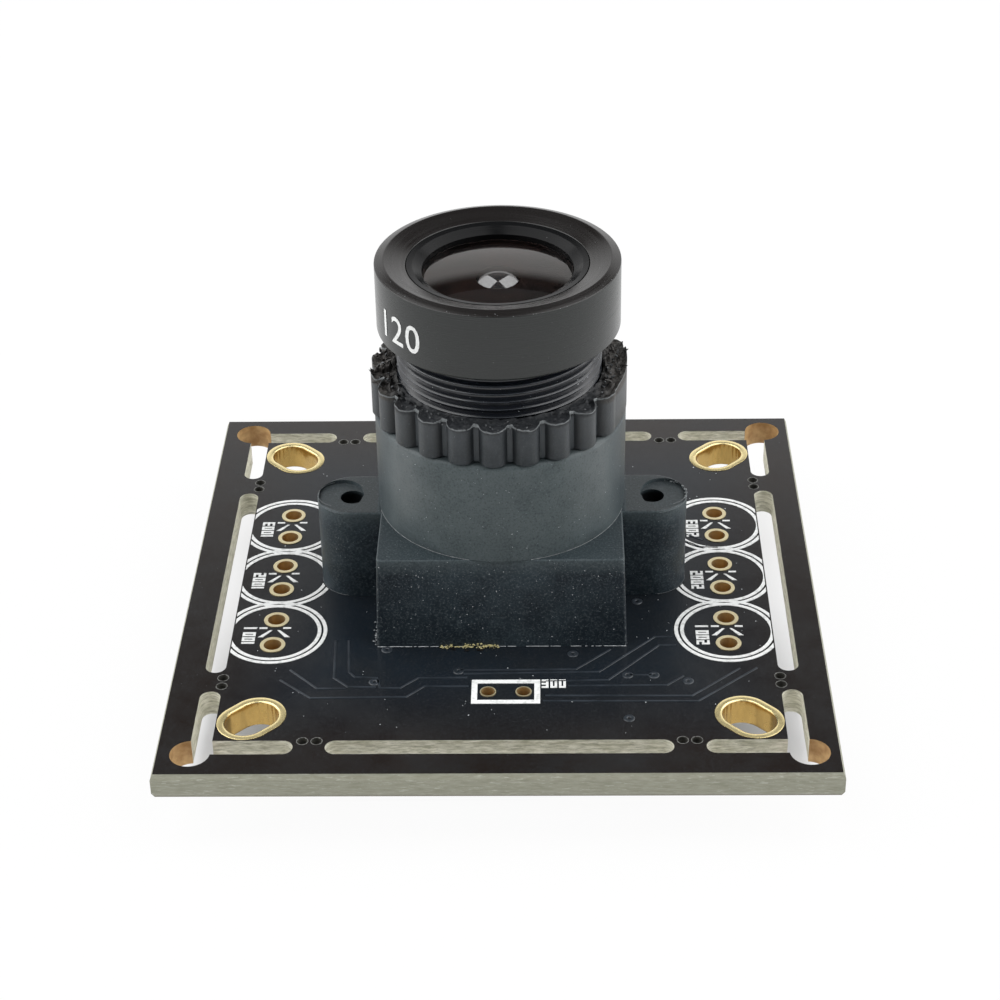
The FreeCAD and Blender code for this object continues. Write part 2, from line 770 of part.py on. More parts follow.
def build():
    os.makedirs("parts", exist_ok=True)
    save("circuit_board", circuit_board())
    save("mounting_slot_plating",
         *[plated_slot(sx * mount_at, sy * mount_at, 45 * sx * sy) for sx, sy in four_corners()])
    sleeves = []
    for x, y in lead_holes():
        for step in (-lead_pitch / 2, lead_pitch / 2):
            sleeves.append(plated_hole(lead_hole_r, lead_rim, x, y + step))
    save("lamp_hole_plating", *sleeves)
    save("light_sensor_hole_plating",
         *[plated_hole(sensor_hole_r, sensor_rim, x, y) for x, y in light_holes()])
    save("board_print", *board_print())
    save("lens_holder", lens_holder())
    save("holder_screws", holder_screw(-1), holder_screw(1))
    sensor_top = top + sensor_t
    save("image_sensor", centred_box(sensor_w, sensor_w, top, sensor_top, axis_x, axis_y))
    save("sensor_cover_glass",
         centred_box(cover_w, cover_w, sensor_top, sensor_top + cover_t, axis_x, axis_y))
    ledge = top + ledge_z
    save("ir_cut_filter", centred_box(filter_w, filter_w, ledge - filter_t, ledge, axis_x, axis_y))
    save("lock_ring", lock_ring())
    save("lens_barrel", lens_barrel())
    save("lens_print", *lens_print())
    save("front_retaining_ring", front_retaining_ring())
    for name, shape in lens_stack().items():
        save(name, shape)
    underside()


build()
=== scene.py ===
import random
from functools import partialmethod
from math import cos, degrees, exp, pi, radians, sin, sqrt

import bmesh
import bpy
from mathutils import Matrix, Vector, noise


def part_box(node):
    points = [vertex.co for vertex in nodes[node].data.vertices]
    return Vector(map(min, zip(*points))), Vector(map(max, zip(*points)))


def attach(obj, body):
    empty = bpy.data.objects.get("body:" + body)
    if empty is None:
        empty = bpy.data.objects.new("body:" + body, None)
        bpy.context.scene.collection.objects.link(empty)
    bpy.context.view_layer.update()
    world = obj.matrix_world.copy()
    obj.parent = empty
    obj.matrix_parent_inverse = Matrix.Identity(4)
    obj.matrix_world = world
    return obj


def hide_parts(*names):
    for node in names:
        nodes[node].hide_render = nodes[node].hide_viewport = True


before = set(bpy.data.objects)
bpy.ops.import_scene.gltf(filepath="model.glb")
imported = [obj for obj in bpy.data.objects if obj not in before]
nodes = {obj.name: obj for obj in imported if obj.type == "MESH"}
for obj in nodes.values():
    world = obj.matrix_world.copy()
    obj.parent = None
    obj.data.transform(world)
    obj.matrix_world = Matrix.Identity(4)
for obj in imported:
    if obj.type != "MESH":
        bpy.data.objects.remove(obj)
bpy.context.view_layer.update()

# A board camera: a black circuit board, a moulded lens holder, a toothed lock ring torn along
# its upper edge, and a lens with a fine thread. Lengths are in millimetres, as meshes are until link().

MM = 0.001


def node_box(name):
    """Lowest and highest corner of a CAD node, in millimetres."""
    lo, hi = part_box(name)
    return lo / MM, hi / MM


board_lo, board_hi = node_box("circuit_board")
barrel_lo, barrel_hi = node_box("lens_barrel")
ring_lo, ring_hi = node_box("lock_ring")
holder_top = node_box("lens_holder")[1].z
floor_z = node_box("lamp_connector_housing")[0].z
glass_lo, glass_hi = node_box("front_element")

board_top = board_hi.z
board_middle = (board_lo + board_hi) / 2
axis = Vector(((barrel_lo.x + barrel_hi.x) / 2, (barrel_lo.y + barrel_hi.y) / 2, 0))
corners = [(sx, sy) for sx in (-1, 1) for sy in (-1, 1)]

# Lens holder
base_half = 7.4
base_top = board_top + 6.02
base_draft = 0.2  # the base is this much narrower to each side at its top
tube_r = 7.4
ear_at = 9.05  # the screws' distance from the lens axis
ear_r = 2.1
ear_hole_r = 0.72
ear_pocket_at = ear_at + 0.7
ear_pocket_r = 1.38

# Routed slots and holes of the board
corner_hole_at = 17.25
corner_hole_r = 1.13
bite_at = 10.65
bite_spread = 0.4
bite_across = 16.17
bite_r = 0.27
bite_halo_r = bite_r + 0.05
outer_edge_at = 18.8  # from the board's middle, past all its slots
face_share = 0.75  # a surface that looks further up or down than this is a face of the board
mount_at = 14.12
mount_w = 2.36
mount_len = 3.25
mount_rim = 0.45
plate_t = 0.04
ridge_step = 0.33  # of the ridges in the mounting slots
ridge_h = 0.034

# Camera, as the photograph was taken
camera_place = Vector((3.035, -119.830, 83.923))
camera_pitch = 32.61  # degrees below the horizon
camera_yaw = 1.51
camera_roll = -1.13
camera_lens = 84.76

# Studio
wall_r = 620.0
wall_top = 540.0
wall_back = (345.0, 450.0)  # heights over which the wall's light fades out, behind the object
wall_front = (40.0, 180.0)  # and in front of it
wall_span = (-150.0, 550.0)  # from front to back, the way over which these heights change
panel_side = 540.0
panel_away = 420.0
panel_lean = 45.0  # degrees from straight up, one panel to each side
panel_energy = 2.25
world_strength = 0.17
world_colour = (0.93, 0.96, 1.0)
floor_share = 0.95  # of the floor that is lit by itself, so that the shadow stays
floor_share_front = 0.16  # the same under the board's front, and under its back
floor_share_back = 0.70
floor_under = (-9.0, 6.0)  # from front to back, the way over which that share changes
floor_clear_aside = (17.0, 19.0)  # the ways over which the floor comes clear of the board
floor_clear_front = (-12.5, -14.0)
floor_clear_back = (10.0, 18.0)

# Thread
pitch = 0.5
thread_r = 5.975
thread_depth = 0.26
thread_flank = 0.36  # of the pitch, to each side of a crest
thread_crest = 1.2  # the flanks' height over the thread's, so that the crests come out flat
thread_fade = 0.2  # the length over which the thread runs out
thread_start = barrel_lo.z + 0.3
thread_end = 18.92
neck_end = 19.37
neck_r = 5.55
steps_per_pitch = 10
turn_steps = 192

# Lens head and front element
head_r = 7.04
head_bevel = 0.14
head_fall = 0.19  # of the head's top towards its side
head_top = barrel_hi.z
head_edge_z = head_top - head_fall
head_inner_r = 6.5
cone_r = 5.25
cone_z = head_top - 0.4
bore_r = 4.2
tail_hole_r = 3.4
tail_ledge_z = barrel_lo.z + 1.2
glass_aperture = 4.32
glass_rim_z = glass_hi.z - 0.42  # where the dome meets its own cylindrical edge
glass_shoulder = 0.76  # fall from the dome's top to the edge under the retaining ring
hollow_r = 1.22  # the small hollow in the back of the front element
hollow_h = 0.32
hollow_tilt = 8.0  # degrees, a small fault of the element's seat
hollow_lift = 0.8  # of the hollow and the blackened back above the element's foot
number_azimuth = -52.3
number_z = 21.0
number_h = 2.42
number_spacing = 1.08
number_weight = 0.012  # by which the strokes are thickened
number_lift = 0.02

# Lock ring
lobes = 23
lobe_r = 0.8
ring_out_r = 7.55
ring_groove = 0.6
groove_r = ring_out_r - ring_groove
ring_bore_r = 6.02
lobe_phase = -2.3
steps_per_lobe = 26
ring_foot = 0.08  # the rounding at the lobes' feet
lug_first = 4  # the lobes that end the smooth lug
lug_last = 7
lug_drop = 0.12
torn_top_steps = 14  # across the ring's width


# Small helpers for meshes

def placed(name, data):
    obj = bpy.data.objects.new(name, data)
    bpy.context.scene.collection.objects.link(obj)
    return obj


def link(name, mesh, material, smooth=None):
    """An object for a mesh in millimetres, scaled to metres. Edges under an angle come out smooth."""
    mesh.transform(Matrix.Scale(MM, 4))
    obj = placed(name, mesh)
    mesh.materials.append(material)
    if smooth is not None:
        mesh.shade_smooth()
        mesh.set_sharp_from_angle(angle=radians(smooth))
    return obj


def made(name, verts, faces, material, smooth=None):
    """An object from points and faces, with its doubles merged and its faces turned outwards."""
    mesh = bpy.data.meshes.new(name)
    mesh.from_pydata([tuple(v) for v in verts], [], faces)
    bm = bmesh.new()
    bm.from_mesh(mesh)
    bmesh.ops.remove_doubles(bm, verts=bm.verts, dist=1e-5)
    bmesh.ops.recalc_face_normals(bm, faces=bm.faces)
    bm.to_mesh(mesh)
    bm.free()
    return link(name, mesh, material, smooth)


def grid_faces(rows, columns, start=0):
    """Quads of a grid of rows by columns of points, numbered row by row."""
    return [(a, a + 1, a + columns + 1, a + columns) for i in range(rows - 1)
            for a in range(start + i * columns, start + (i + 1) * columns - 1)]


def turn(angle, way):
    return Matrix.Rotation(radians(angle), 4, way)


def around(r, a, z, centre=axis):
    """A point at an angle in radians, from -Y towards +X."""
    return Vector((centre[0] + r * sin(a), centre[1] - r * cos(a), z))


def lathe(name, profile, material, segments):
    """(radius, z) values turned about the lens axis. The last column of points closes the grid."""
    points = [around(r, 2 * pi * j / segments, z) for r, z in profile for j in range(segments + 1)]
    return made(name, points, grid_faces(len(profile), segments + 1), material, 30)


def rounded(profile, radius, steps=4):
    """The same outline with small arcs in place of its inner corners."""
    points = [Vector((r, z)) for r, z in profile]
    out = [points[0]]
    for before, corner, after in zip(points, points[1:], points[2:]):
        a = before - corner
        b = after - corner
        cut = min(radius, a.length / 2.2, b.length / 2.2)
        p0 = corner + a.normalized() * cut
        p1 = corner + b.normalized() * cut
        for k in range(steps + 1):
            t = k / steps
            out.append(p0 * (1 - t) ** 2 + corner * 2 * t * (1 - t) + p1 * t * t)
    out.append(points[-1])
    return [(p.x, p.y) for p in out]


# Small helpers for materials

class Value:
    """A number that a material's nodes work out, with the usual signs for sums of such numbers."""

    def __init__(self, shade, socket):
        self.shade = shade
        self.socket = socket

    def work(self, operation, other=None):
        return self.shade.math(operation, self, other)

    __add__ = partialmethod(work, "ADD")
    __sub__ = partialmethod(work, "SUBTRACT")
    __mul__ = partialmethod(work, "MULTIPLY")
    __gt__ = partialmethod(work, "GREATER_THAN")
    __lt__ = partialmethod(work, "LESS_THAN")
    __abs__ = partialmethod(work, "ABSOLUTE")


class Shade:
    """A node material that measures in millimetres, with one short call for each kind of node."""

    def __init__(self, name, roughness=0.5, metallic=0.0, specular=0.5, ior=1.5):
        self.material = bpy.data.materials.new(name)
        self.material.use_nodes = True
        self.tree = self.material.node_tree
        self.shader = self.tree.nodes["Principled BSDF"]
        self.set(Roughness=roughness, Metallic=metallic, Specular_IOR_Level=specular, IOR=ior)
        metres = self.out("TexCoord", key="Object")
        self.place = self.out("VectorMath", {0: metres, "Scale": 1 / MM}, operation="SCALE")

    def add(self, kind, inputs=(), **settings):
        node = self.tree.nodes.new("ShaderNode" + kind)
        for key, value in settings.items():
            setattr(node, key, value)
        for key, value in dict(inputs).items():
            self.feed(node.inputs[key], value)
        return node

    def out(self, kind, inputs=(), key=0, **settings):
        return Value(self, self.add(kind, inputs, **settings).outputs[key])

    def feed(self, socket, value):
        if isinstance(value, Value):
            self.tree.links.new(value.socket, socket)
        else:
            socket.default_value = (*value, 1) if socket.type == "RGBA" else value

    def set(self, **inputs):
        for key, value in inputs.items():
            self.feed(self.shader.inputs[key.replace("_", " ")], value)
        return self.material

    def show(self, shader):
        """Puts another shader in place of the usual one."""
        self.tree.nodes.remove(self.shader)
        self.feed(self.tree.nodes["Material Output"].inputs["Surface"], shader)
        return self.material

    def noise(self, scale, detail=3.0, rough=0.55, vector=None):
        return self.out("TexNoise", {"Scale": scale, "Detail": detail, "Roughness": rough,
                                     "Vector": vector or self.place})

    def math(self, operation, a, b=None, clamp=False):
        inputs = enumerate((a,) if b is None else (a, b))
        return self.out("Math", inputs, operation=operation, use_clamp=clamp)

    def length(self, a, b):
        return self.math("SQRT", a * a + b * b)

    def ramp(self, value, low, high, out_low=0.0, out_high=1.0, smooth=False):
        return self.out("MapRange", enumerate((value, low, high, out_low, out_high)),
                        interpolation_type="SMOOTHSTEP" if smooth else "LINEAR")

    def mix(self, factor, a, b):
        return self.out("Mix", {0: factor, 6: a, 7: b}, 2, data_type="RGBA")

    def blend(self, value, low, high, a, b, share=1.0):
        """From one colour towards another as a value goes from low to high."""
        return self.mix(self.ramp(value, low, high, 0.0, share), a, b)

    def split(self, vector=None):
        parts = self.add("SeparateXYZ", {0: vector or self.place})
        return [Value(self, socket) for socket in parts.outputs]

    def upward(self):
        """1 where the surface looks up, 0 where it stands and -1 where it looks down."""
        return self.split(self.out("TexCoord", key="Normal"))[2]

    def stretched(self, x, y, z):
        """The place with each direction scaled, for grain that runs one way."""
        return self.out("VectorMath", {0: self.place, 1: (x, y, z)}, operation="MULTIPLY")

    def bump(self, height, strength=0.5, distance=0.05, under=None):
        inputs = {"Strength": strength, "Distance": distance * MM, "Height": height}
        if under:
            inputs["Normal"] = under
        return self.out("Bump", inputs)

    def specks(self, colour, tint, scale, size, share, strength):
        """A colour under small specks of another, each in a cell of its own."""
        cell = self.add("TexVoronoi", {"Scale": scale, "Vector": self.place})
        dot = self.ramp(Value(self, cell.outputs["Distance"]), size, size * 0.5)
        chosen = self.split(Value(self, cell.outputs["Color"]))[0] > 1 - share
        return self.mix(dot * chosen * strength, colour, tint)


# Materials

def solder_mask():
    """Glossy black lacquer on the faces, glass-fibre laminate where the board is cut."""
    s = Shade("black_solder_mask")
    x, y, z = s.split()
    nearer = s.math("MINIMUM", abs(x), abs(y))
    further = s.math("MAXIMUM", abs(x), abs(y))
    face = abs(s.upward()) > face_share
    cloud = s.noise(0.3, 4)
    fine = s.noise(9.0, 4, 0.7)
    lacquer = s.blend(further, 10.0, 17.0, (0.0088, 0.0138, 0.02), (0.011, 0.007, 0.0052))
    lacquer = s.blend(cloud, 0.35, 0.75, lacquer, (0.0125, 0.014, 0.015), 0.6)
    lacquer = s.blend(fine, 0.48, 0.72, lacquer, (0.036, 0.038, 0.042), 0.5)
    lacquer = s.specks(lacquer, (0.22, 0.24, 0.26), 1.3, 0.045, 0.45, 0.35)
    weave = s.noise(1.0, 4, 0.7, s.stretched(1.1, 1.1, 6.0))
    fibre = s.noise(1.0, 3, 0.65, s.stretched(1.6, 1.6, 15.0))
    # Painted light: inside the slots and holes the laminate is much lighter than at the board's outer edge,
    # standing in for light let through the glass fibre and thrown up from the floor.
    cut = s.blend(weave, 0.35, 0.65, (0.5, 0.49, 0.38), (0.92, 0.9, 0.8))
    cut = s.blend(fibre, 0.52, 0.64, cut, (0.24, 0.23, 0.17), 0.6)
    edge = s.blend(weave, 0.35, 0.65, (0.258, 0.26, 0.194), (0.345, 0.344, 0.274))
    edge = s.blend(fibre, 0.6, 0.68, edge, (0.52, 0.52, 0.45), 0.8)
    # Painted shade: the laminate of the outer edge darkens towards the board's lower face.
    edge = s.blend(z, 0.16, 0.04, edge, (0.13, 0.115, 0.09), 0.7)
    away = s.math("MAXIMUM", abs(x - board_middle.x), abs(y - board_middle.y))
    laminate = s.mix(away > outer_edge_at, cut, edge)
    from_corner_hole = s.length(abs(x) - corner_hole_at, abs(y) - corner_hole_at)
    copper = s.blend(s.noise(1.6, 4), 0.35, 0.7, (0.36, 0.2, 0.07), (0.62, 0.42, 0.2))
    laminate = s.mix(from_corner_hole < corner_hole_r + 0.02, laminate, copper)
    from_bite = s.math("MAXIMUM", abs(nearer - bite_at), abs(further - bite_across))
    # Painted shade: the walls of the break-off holes are dark, as the inside of a small hole is in shade.
    bite_hole_shade = s.blend(weave, 0.35, 0.65, (0.03, 0.029, 0.025), (0.08, 0.078, 0.066))
    laminate = s.mix(from_bite < bite_spread + bite_halo_r, laminate, bite_hole_shade)
    bumps = s.bump(fine, 0.12, 0.006, s.bump(s.noise(1.4, 3), 0.1, 0.02))
    rough = s.ramp(face, 0.0, 1.0, 0.6, s.ramp(cloud, 0.3, 0.7, 0.17, 0.25))
    return s.set(Base_Color=s.mix(face, laminate, lacquer), Roughness=rough, Normal=bumps)


def covered_copper():
    """Lacquer over a copper track: a little lighter and bluer."""
    s = Shade("lacquer_over_copper", roughness=0.3)
    colour = s.blend(s.noise(0.8, 3), 0.35, 0.65, (0.017, 0.022, 0.028), (0.034, 0.042, 0.052))
    return s.set(Base_Color=colour, Normal=s.bump(s.noise(20.0, 2), 0.15, 0.01))


def gold(name, wall, rim, roughness, deep=None):
    """Gold over copper: flat on the rims, warmer and scored on the walls, and darker deep in a hole, which
    is painted shade.
    """
    s = Shade(name, roughness=roughness, metallic=0.8)
    fine = s.noise(1.6, 2)
    streak = s.noise(1.0, 3, 0.6, s.stretched(4.0, 4.0, 1.4))
    side = s.blend(streak, 0.35, 0.7, [0.86 * c for c in wall], wall)
    # Painted shade: the walls darken with depth into the hole.
    if deep:
        side = s.blend(s.split()[2], board_top - 0.15, board_top - 0.65, side, deep)
    top = s.blend(fine, 0.3, 0.7, [0.98 * c for c in rim], rim)
    rough = s.ramp(fine, 0.3, 0.7, roughness - 0.03, roughness + 0.05)
    return s.set(Base_Color=s.mix(abs(s.upward()) > face_share, side, top), Roughness=rough,
                 Normal=s.bump(fine, 0.02, 0.01))


def ink():
    """White screen print, a little worn."""
    s = Shade("white_screen_print", roughness=0.62, specular=0.3)
    colour = s.blend(s.noise(3.2, 4), 0.32, 0.5, (0.6, 0.61, 0.6), (0.84, 0.85, 0.84))
    return s.set(Base_Color=colour, Normal=s.bump(s.noise(12.0, 2), 0.4, 0.02))


def moulded_plastic():
    """The holder: satin plastic, greyer on the tube with painted highlight bands, and dark and specked on
    the base, the darkness a painted shade.
    """
    s = Shade("holder_plastic", specular=0.35)
    x, y, z = s.split()
    aside = abs(x - axis.x)
    cloud = s.noise(0.5, 4)
    fine = s.noise(8.0, 4, 0.7)
    # Painted shade: the base gets a far darker colour than the tube above it, though both are one moulding.
    low = s.blend(cloud, 0.34, 0.66, (0.0085, 0.0165, 0.024), (0.027, 0.042, 0.053))
    shaded = s.ramp(aside, 2.5, 6.8) * s.ramp(aside, base_half + 0.1, base_half)
    low = s.mix(shaded * 0.65, low, (0.005, 0.0105, 0.017))
    # Painted highlight: the base grows lighter over the last millimetre below its top edge.
    low = s.blend(z, base_top - 1.1, base_top - 0.05, low, (0.06, 0.08, 0.088))
    high = s.blend(cloud, 0.3, 0.7, (0.062, 0.08, 0.084), (0.09, 0.113, 0.118))
    # Painted highlight: lighter bands down the tube to either side of its front, fading towards its foot.
    painted_highlight = s.ramp(aside, 3.4, 5.4) * s.ramp(aside, 6.6, 6.0) * s.ramp(cloud, 0.3, 0.6, 0.25, 0.8)
    painted_highlight = painted_highlight * s.ramp(z, base_top + 1.0, base_top + 3.6, 0.1, 1.0)
    high = s.mix(painted_highlight, high, (0.125, 0.142, 0.145))
    # Painted shade: the tube darkens where its side turns away, towards its left and right edges.
    high = s.blend(aside, 6.3, 7.1, high, (0.03, 0.04, 0.046), 0.65)
    # Painted shade: the tube darkens towards its foot, into the base's colour.
    colour = s.blend(z, base_top + 0.05, base_top + 2.6, s.mix(0.75, low, high), high)
    colour = s.blend(z, base_top - 0.03, base_top - 0.005, low, colour)
    shelf = s.ramp(z, base_top - 0.02, base_top - 0.01) * s.ramp(z, base_top + 0.03, base_top + 0.01)
    shelf = shelf * s.ramp(aside, base_half, base_half - 0.1)
    colour = s.mix(shelf * 0.8, colour, (0.016, 0.027, 0.033))
    ears = s.ramp(s.upward(), 0.6, 0.9) * s.ramp(aside, base_half, base_half + 0.1)
    colour = s.mix(ears * 0.5, colour, (0.04, 0.042, 0.042))
    colour = s.blend(fine, 0.5, 0.68, colour, (0.1, 0.118, 0.128), 0.62)
    colour = s.blend(fine, 0.48, 0.28, colour, (0.006, 0.01, 0.015), 0.6)
    colour = s.specks(colour, (0.19, 0.22, 0.24), 6.0, 0.15, 0.5, 0.6)
    colour = s.specks(colour, (0.26, 0.3, 0.32), 3.6, 0.1, 0.5, 0.8)
    colour = s.specks(colour, (0.5, 0.54, 0.56), 1.7, 0.05, 0.5, 0.9)
    # Painted shade: the screw holes in the ears darken with depth.
    in_hole = s.length(aside - ear_at, y - axis.y) < ear_hole_r + 0.02
    colour = s.mix(in_hole * s.ramp(z, base_top - 0.15, base_top - 0.5), colour, (0.003, 0.004, 0.005))
    return s.set(Base_Color=colour, Roughness=s.ramp(fine, 0.3, 0.7, 0.36, 0.52),
                 Normal=s.bump(fine, 0.4, 0.03, s.bump(s.noise(1.3, 3), 0.15, 0.05)))


def torn_plastic():
    """The lock ring: satin on the lobes, raw and darker where the top is torn."""
    s = Shade("ring_plastic")
    x, y, z = s.split()
    aside = abs(x - axis.x)
    away = s.length(x - axis.x, y - axis.y)
    fine = s.noise(7.0, 5, 0.68)
    skin = s.blend(s.noise(1.1, 4), 0.3, 0.7, (0.021, 0.027, 0.032), (0.04, 0.047, 0.053))
    skin = s.blend(fine, 0.5, 0.8, skin, (0.075, 0.085, 0.092), 0.5)
    skin = s.blend(aside, 2.0, 6.2, skin, (0.072, 0.078, 0.082), 0.6)
    skin = s.specks(skin, (0.36, 0.4, 0.42), 2.6, 0.06, 0.4, 0.8)
    skin = s.specks(skin, (0.17, 0.19, 0.2), 6.0, 0.13, 0.4, 0.5)
    # Painted shade: the lobes darken down their flanks into the grooves.
    skin = s.mix(s.ramp(away, ring_out_r - 0.12, groove_r + 0.16) * 0.75, skin, (0.006, 0.008, 0.01))
    # Painted highlight: a thin paler line along the floor of each groove.
    skin = s.blend(away, groove_r + 0.03, groove_r + 0.01, skin, (0.04, 0.048, 0.054))
    raw = s.blend(fine, 0.35, 0.7, (0.006, 0.008, 0.011), (0.036, 0.039, 0.043))
    brown = s.blend(fine, 0.35, 0.65, (0.02, 0.018, 0.017), (0.085, 0.078, 0.07))
    raw = s.blend(aside, 5.4, 6.6, raw, brown)
    torn = s.ramp(z, ring_hi.z - 0.3, ring_hi.z - 0.14)
    return s.set(Base_Color=s.mix(torn, skin, raw), Roughness=s.ramp(torn, 0, 1, 0.46, 0.6),
                 Normal=s.bump(fine, 0.5, 0.05))


def anodised(name, base, light, roughness, streak, ior=1.6, crest=None, top=None):
    """Black anodised aluminium with the fine rings of the turning tool, a painted highlight along a
    thread's crests and painted shade on a head's top.
    """
    s = Shade(name, roughness=roughness, ior=ior)
    turned = s.noise(1.0, 2, 0.5, s.stretched(0.15, 0.15, 18.0))
    fine = s.noise(24.0, 3, 0.7)
    colour = s.blend(fine, 0.3, 0.75, base, light)
    # Painted shade: where the surface looks up, the colour turns to the darker top colour.
    if top:
        colour = s.blend(s.upward(), 0.5, 0.75, colour, top)
    colour = s.specks(colour, (0.4, 0.42, 0.42), 1.3, 0.03, 0.4, 0.7)
    # Painted highlight: a paler band along a thread's crests.
    if crest:
        x, y, _ = s.split()
        away = s.length(x - axis.x, y - axis.y)
        painted_highlight = s.ramp(away, crest - 0.03, crest - 0.01) * s.ramp(fine, 0.3, 0.6, 0.6, 1.0)
        colour = s.mix(painted_highlight, colour, (0.07, 0.079, 0.092))
    rough = s.ramp(turned, 0.3, 0.7, roughness - 0.05, roughness + 0.06)
    return s.set(Base_Color=colour, Roughness=rough,
                 Normal=s.bump(turned, streak, 0.008, s.bump(fine, 0.12, 0.006)))


def lens_glass(name, tint=(1.0, 1.0, 1.0), roughness=0.0, ior=1.5, reflected=(1.0, 1.0, 1.0)):
    s = Shade(name, ior=ior)
    rough = s.ramp(s.noise(1.2, 2), 0.2, 0.8, roughness, roughness + 0.003)
    return s.set(Transmission_Weight=1.0, Base_Color=tint, Specular_Tint=reflected, Roughness=rough)


def plain(name, dark, light, roughness=0.5, metallic=0.0, scale=4.0, strength=0.2, **more):
    """A material with fine variation, for small parts and those that the board hides."""
    s = Shade(name, roughness=roughness, metallic=metallic, **more)
    fine = s.noise(scale, 4)
    return s.set(Base_Color=s.blend(fine, 0.3, 0.7, dark, light),
                 Roughness=s.ramp(fine, 0.3, 0.7, roughness - 0.05, roughness + 0.08),
                 Normal=s.bump(fine, strength, 0.02))


def frayed(name, dark, light):
    return plain(name, dark, light, scale=9.0, strength=0.5)


copper_mat = covered_copper()
slot_gold_mat = gold("slot_gold", (0.56, 0.37, 0.115), (0.98, 0.82, 0.42), 0.24)
ink_mat = ink()
ring_mat = torn_plastic()
# The head's top colour is painted shade.
head_mat = anodised("anodised_head", (0.012, 0.0145, 0.014), (0.02, 0.023, 0.022), 0.24, 0.12, 1.5,
                    top=(0.006, 0.0044, 0.0038))
thread_mat = anodised("anodised_thread", (0.004, 0.0056, 0.0095), (0.0085, 0.0115, 0.0175), 0.26, 0.1,
                      crest=thread_r)
inside_mat = plain("blackened_inside", (0.002, 0.0014, 0.0012), (0.006, 0.0042, 0.0034), 0.7, specular=0.2)
back_mat = plain("blackened_back", (0.0012, 0.0008, 0.0008), (0.022, 0.009, 0.006), 0.7, scale=0.45,
                 specular=0.2)
glass_mat = lens_glass("front_glass", ior=1.45, reflected=(1.0, 0.92, 0.85))
hollow_mat = plain("hollow_glass", (0.01, 0.006, 0.005), (0.014, 0.009, 0.007), 0.06, scale=3.0,
                   strength=0.0, ior=2.3)
crumb_mat = plain("dried_glue", (0.36, 0.3, 0.09), (0.8, 0.74, 0.42), scale=6.0, strength=0.5)
dust_mat = plain("pale_dust", (0.45, 0.48, 0.5), (0.85, 0.88, 0.9), 0.7)
flash_and_highlight_mat = frayed("flash_and_painted_highlights", (0.085, 0.095, 0.1), (0.2, 0.215, 0.22))
pale_grit_and_highlight_mat = frayed("pale_grit_and_painted_highlight", (0.15, 0.165, 0.17), (0.36, 0.38, 0.39))
halo_mat = frayed("lifted_lacquer", (0.085, 0.086, 0.08), (0.2, 0.2, 0.185))
fray_mat = frayed("torn_fibre", (0.05, 0.055, 0.058), (0.19, 0.2, 0.21))

for names, material in (
    ("circuit_board", solder_mask()),
    ("mounting_slot_plating", slot_gold_mat),
    ("lamp_hole_plating light_sensor_hole_plating",
     gold("hole_gold", (0.88, 0.68, 0.36), (1.00, 0.88, 0.56), 0.34, (0.42, 0.24, 0.07))),
    ("board_print lens_print", ink_mat),
    ("lens_holder", moulded_plastic()),
    ("lock_ring", ring_mat),
    ("front_retaining_ring",
     anodised("anodised_retainer", (0.003, 0.0032, 0.0035), (0.006, 0.0062, 0.0068), 0.22, 0.2, 1.2)),
    ("lens_barrel", head_mat),
    ("front_spacer middle_spacer rear_spacer aperture_stop", inside_mat),
    ("front_element", glass_mat),
    ("second_element third_element fourth_element rear_element",
     lens_glass("inner_glass", (0.3, 0.2, 0.16), ior=1.12)),
    ("ir_cut_filter sensor_cover_glass", lens_glass("filter_glass", (0.75, 0.95, 1.0), 0.02)),
    ("image_sensor", plain("sensor_package", (0.02, 0.022, 0.03), (0.045, 0.05, 0.07), 0.25)),
    ("holder_screws", plain("blackened_steel", (0.02, 0.02, 0.022), (0.05, 0.05, 0.052), 0.35, 0.7)),
    ("processor flash_chip voltage_regulators",
     plain("moulded_chip", (0.02, 0.02, 0.022), (0.034, 0.034, 0.036), 0.55)),
    ("flash_chip_leads regulator_leads chip_terminals cable_connector_pins lamp_connector_pins",
     plain("tinned_leads", (0.6, 0.61, 0.63), (0.78, 0.79, 0.8), 0.28, 0.9)),
    ("ceramic_capacitors", plain("ceramic_body", (0.3, 0.2, 0.12), (0.44, 0.32, 0.2))),
    ("chip_resistors", plain("resistor_body", (0.015, 0.015, 0.017), (0.03, 0.03, 0.034), 0.35)),
    ("power_inductor", plain("pressed_ferrite", (0.055, 0.055, 0.058), (0.11, 0.11, 0.115), 0.6)),
    ("clock_crystal", plain("metal_lid", (0.5, 0.47, 0.4), (0.66, 0.63, 0.55), 0.3, 0.9)),
    ("cable_connector_housing lamp_connector_housing",
     plain("natural_nylon", (0.66, 0.62, 0.52), (0.78, 0.75, 0.66), 0.45)),
):
    for name in names.split():
        data = nodes[name].data
        if data.materials:
            data.materials[0] = material
        else:
            data.materials.append(material)


# Lens barrel with its thread

def thread_surface():
    """The thread as a grid whose rows climb with the helix, so that the crests stay crisp."""
    rows = int((thread_end - thread_start) / pitch * steps_per_pitch) + 2 * steps_per_pitch
    points = []
    for i in range(rows + 1):
        phase = (i % steps_per_pitch) / steps_per_pitch
        ridge = max(0.0, 1 - abs(phase - 0.5) / thread_flank)
        depth = thread_depth * (1 - min(1.0, ridge * thread_crest))
        for j in range(turn_steps + 1):
            z = thread_start + pitch * (i / steps_per_pitch - 1 + j / turn_steps)
            fade = min(1.0, max(0.0, (thread_end - z) / thread_fade))
            r = thread_r - depth * fade - (1 - fade) * thread_depth
            z = min(max(z, thread_start), thread_end)
            points.append(around(r, pi / 2 + 2 * pi * j / turn_steps, z))
    return points, grid_faces(rows + 1, turn_steps + 1)


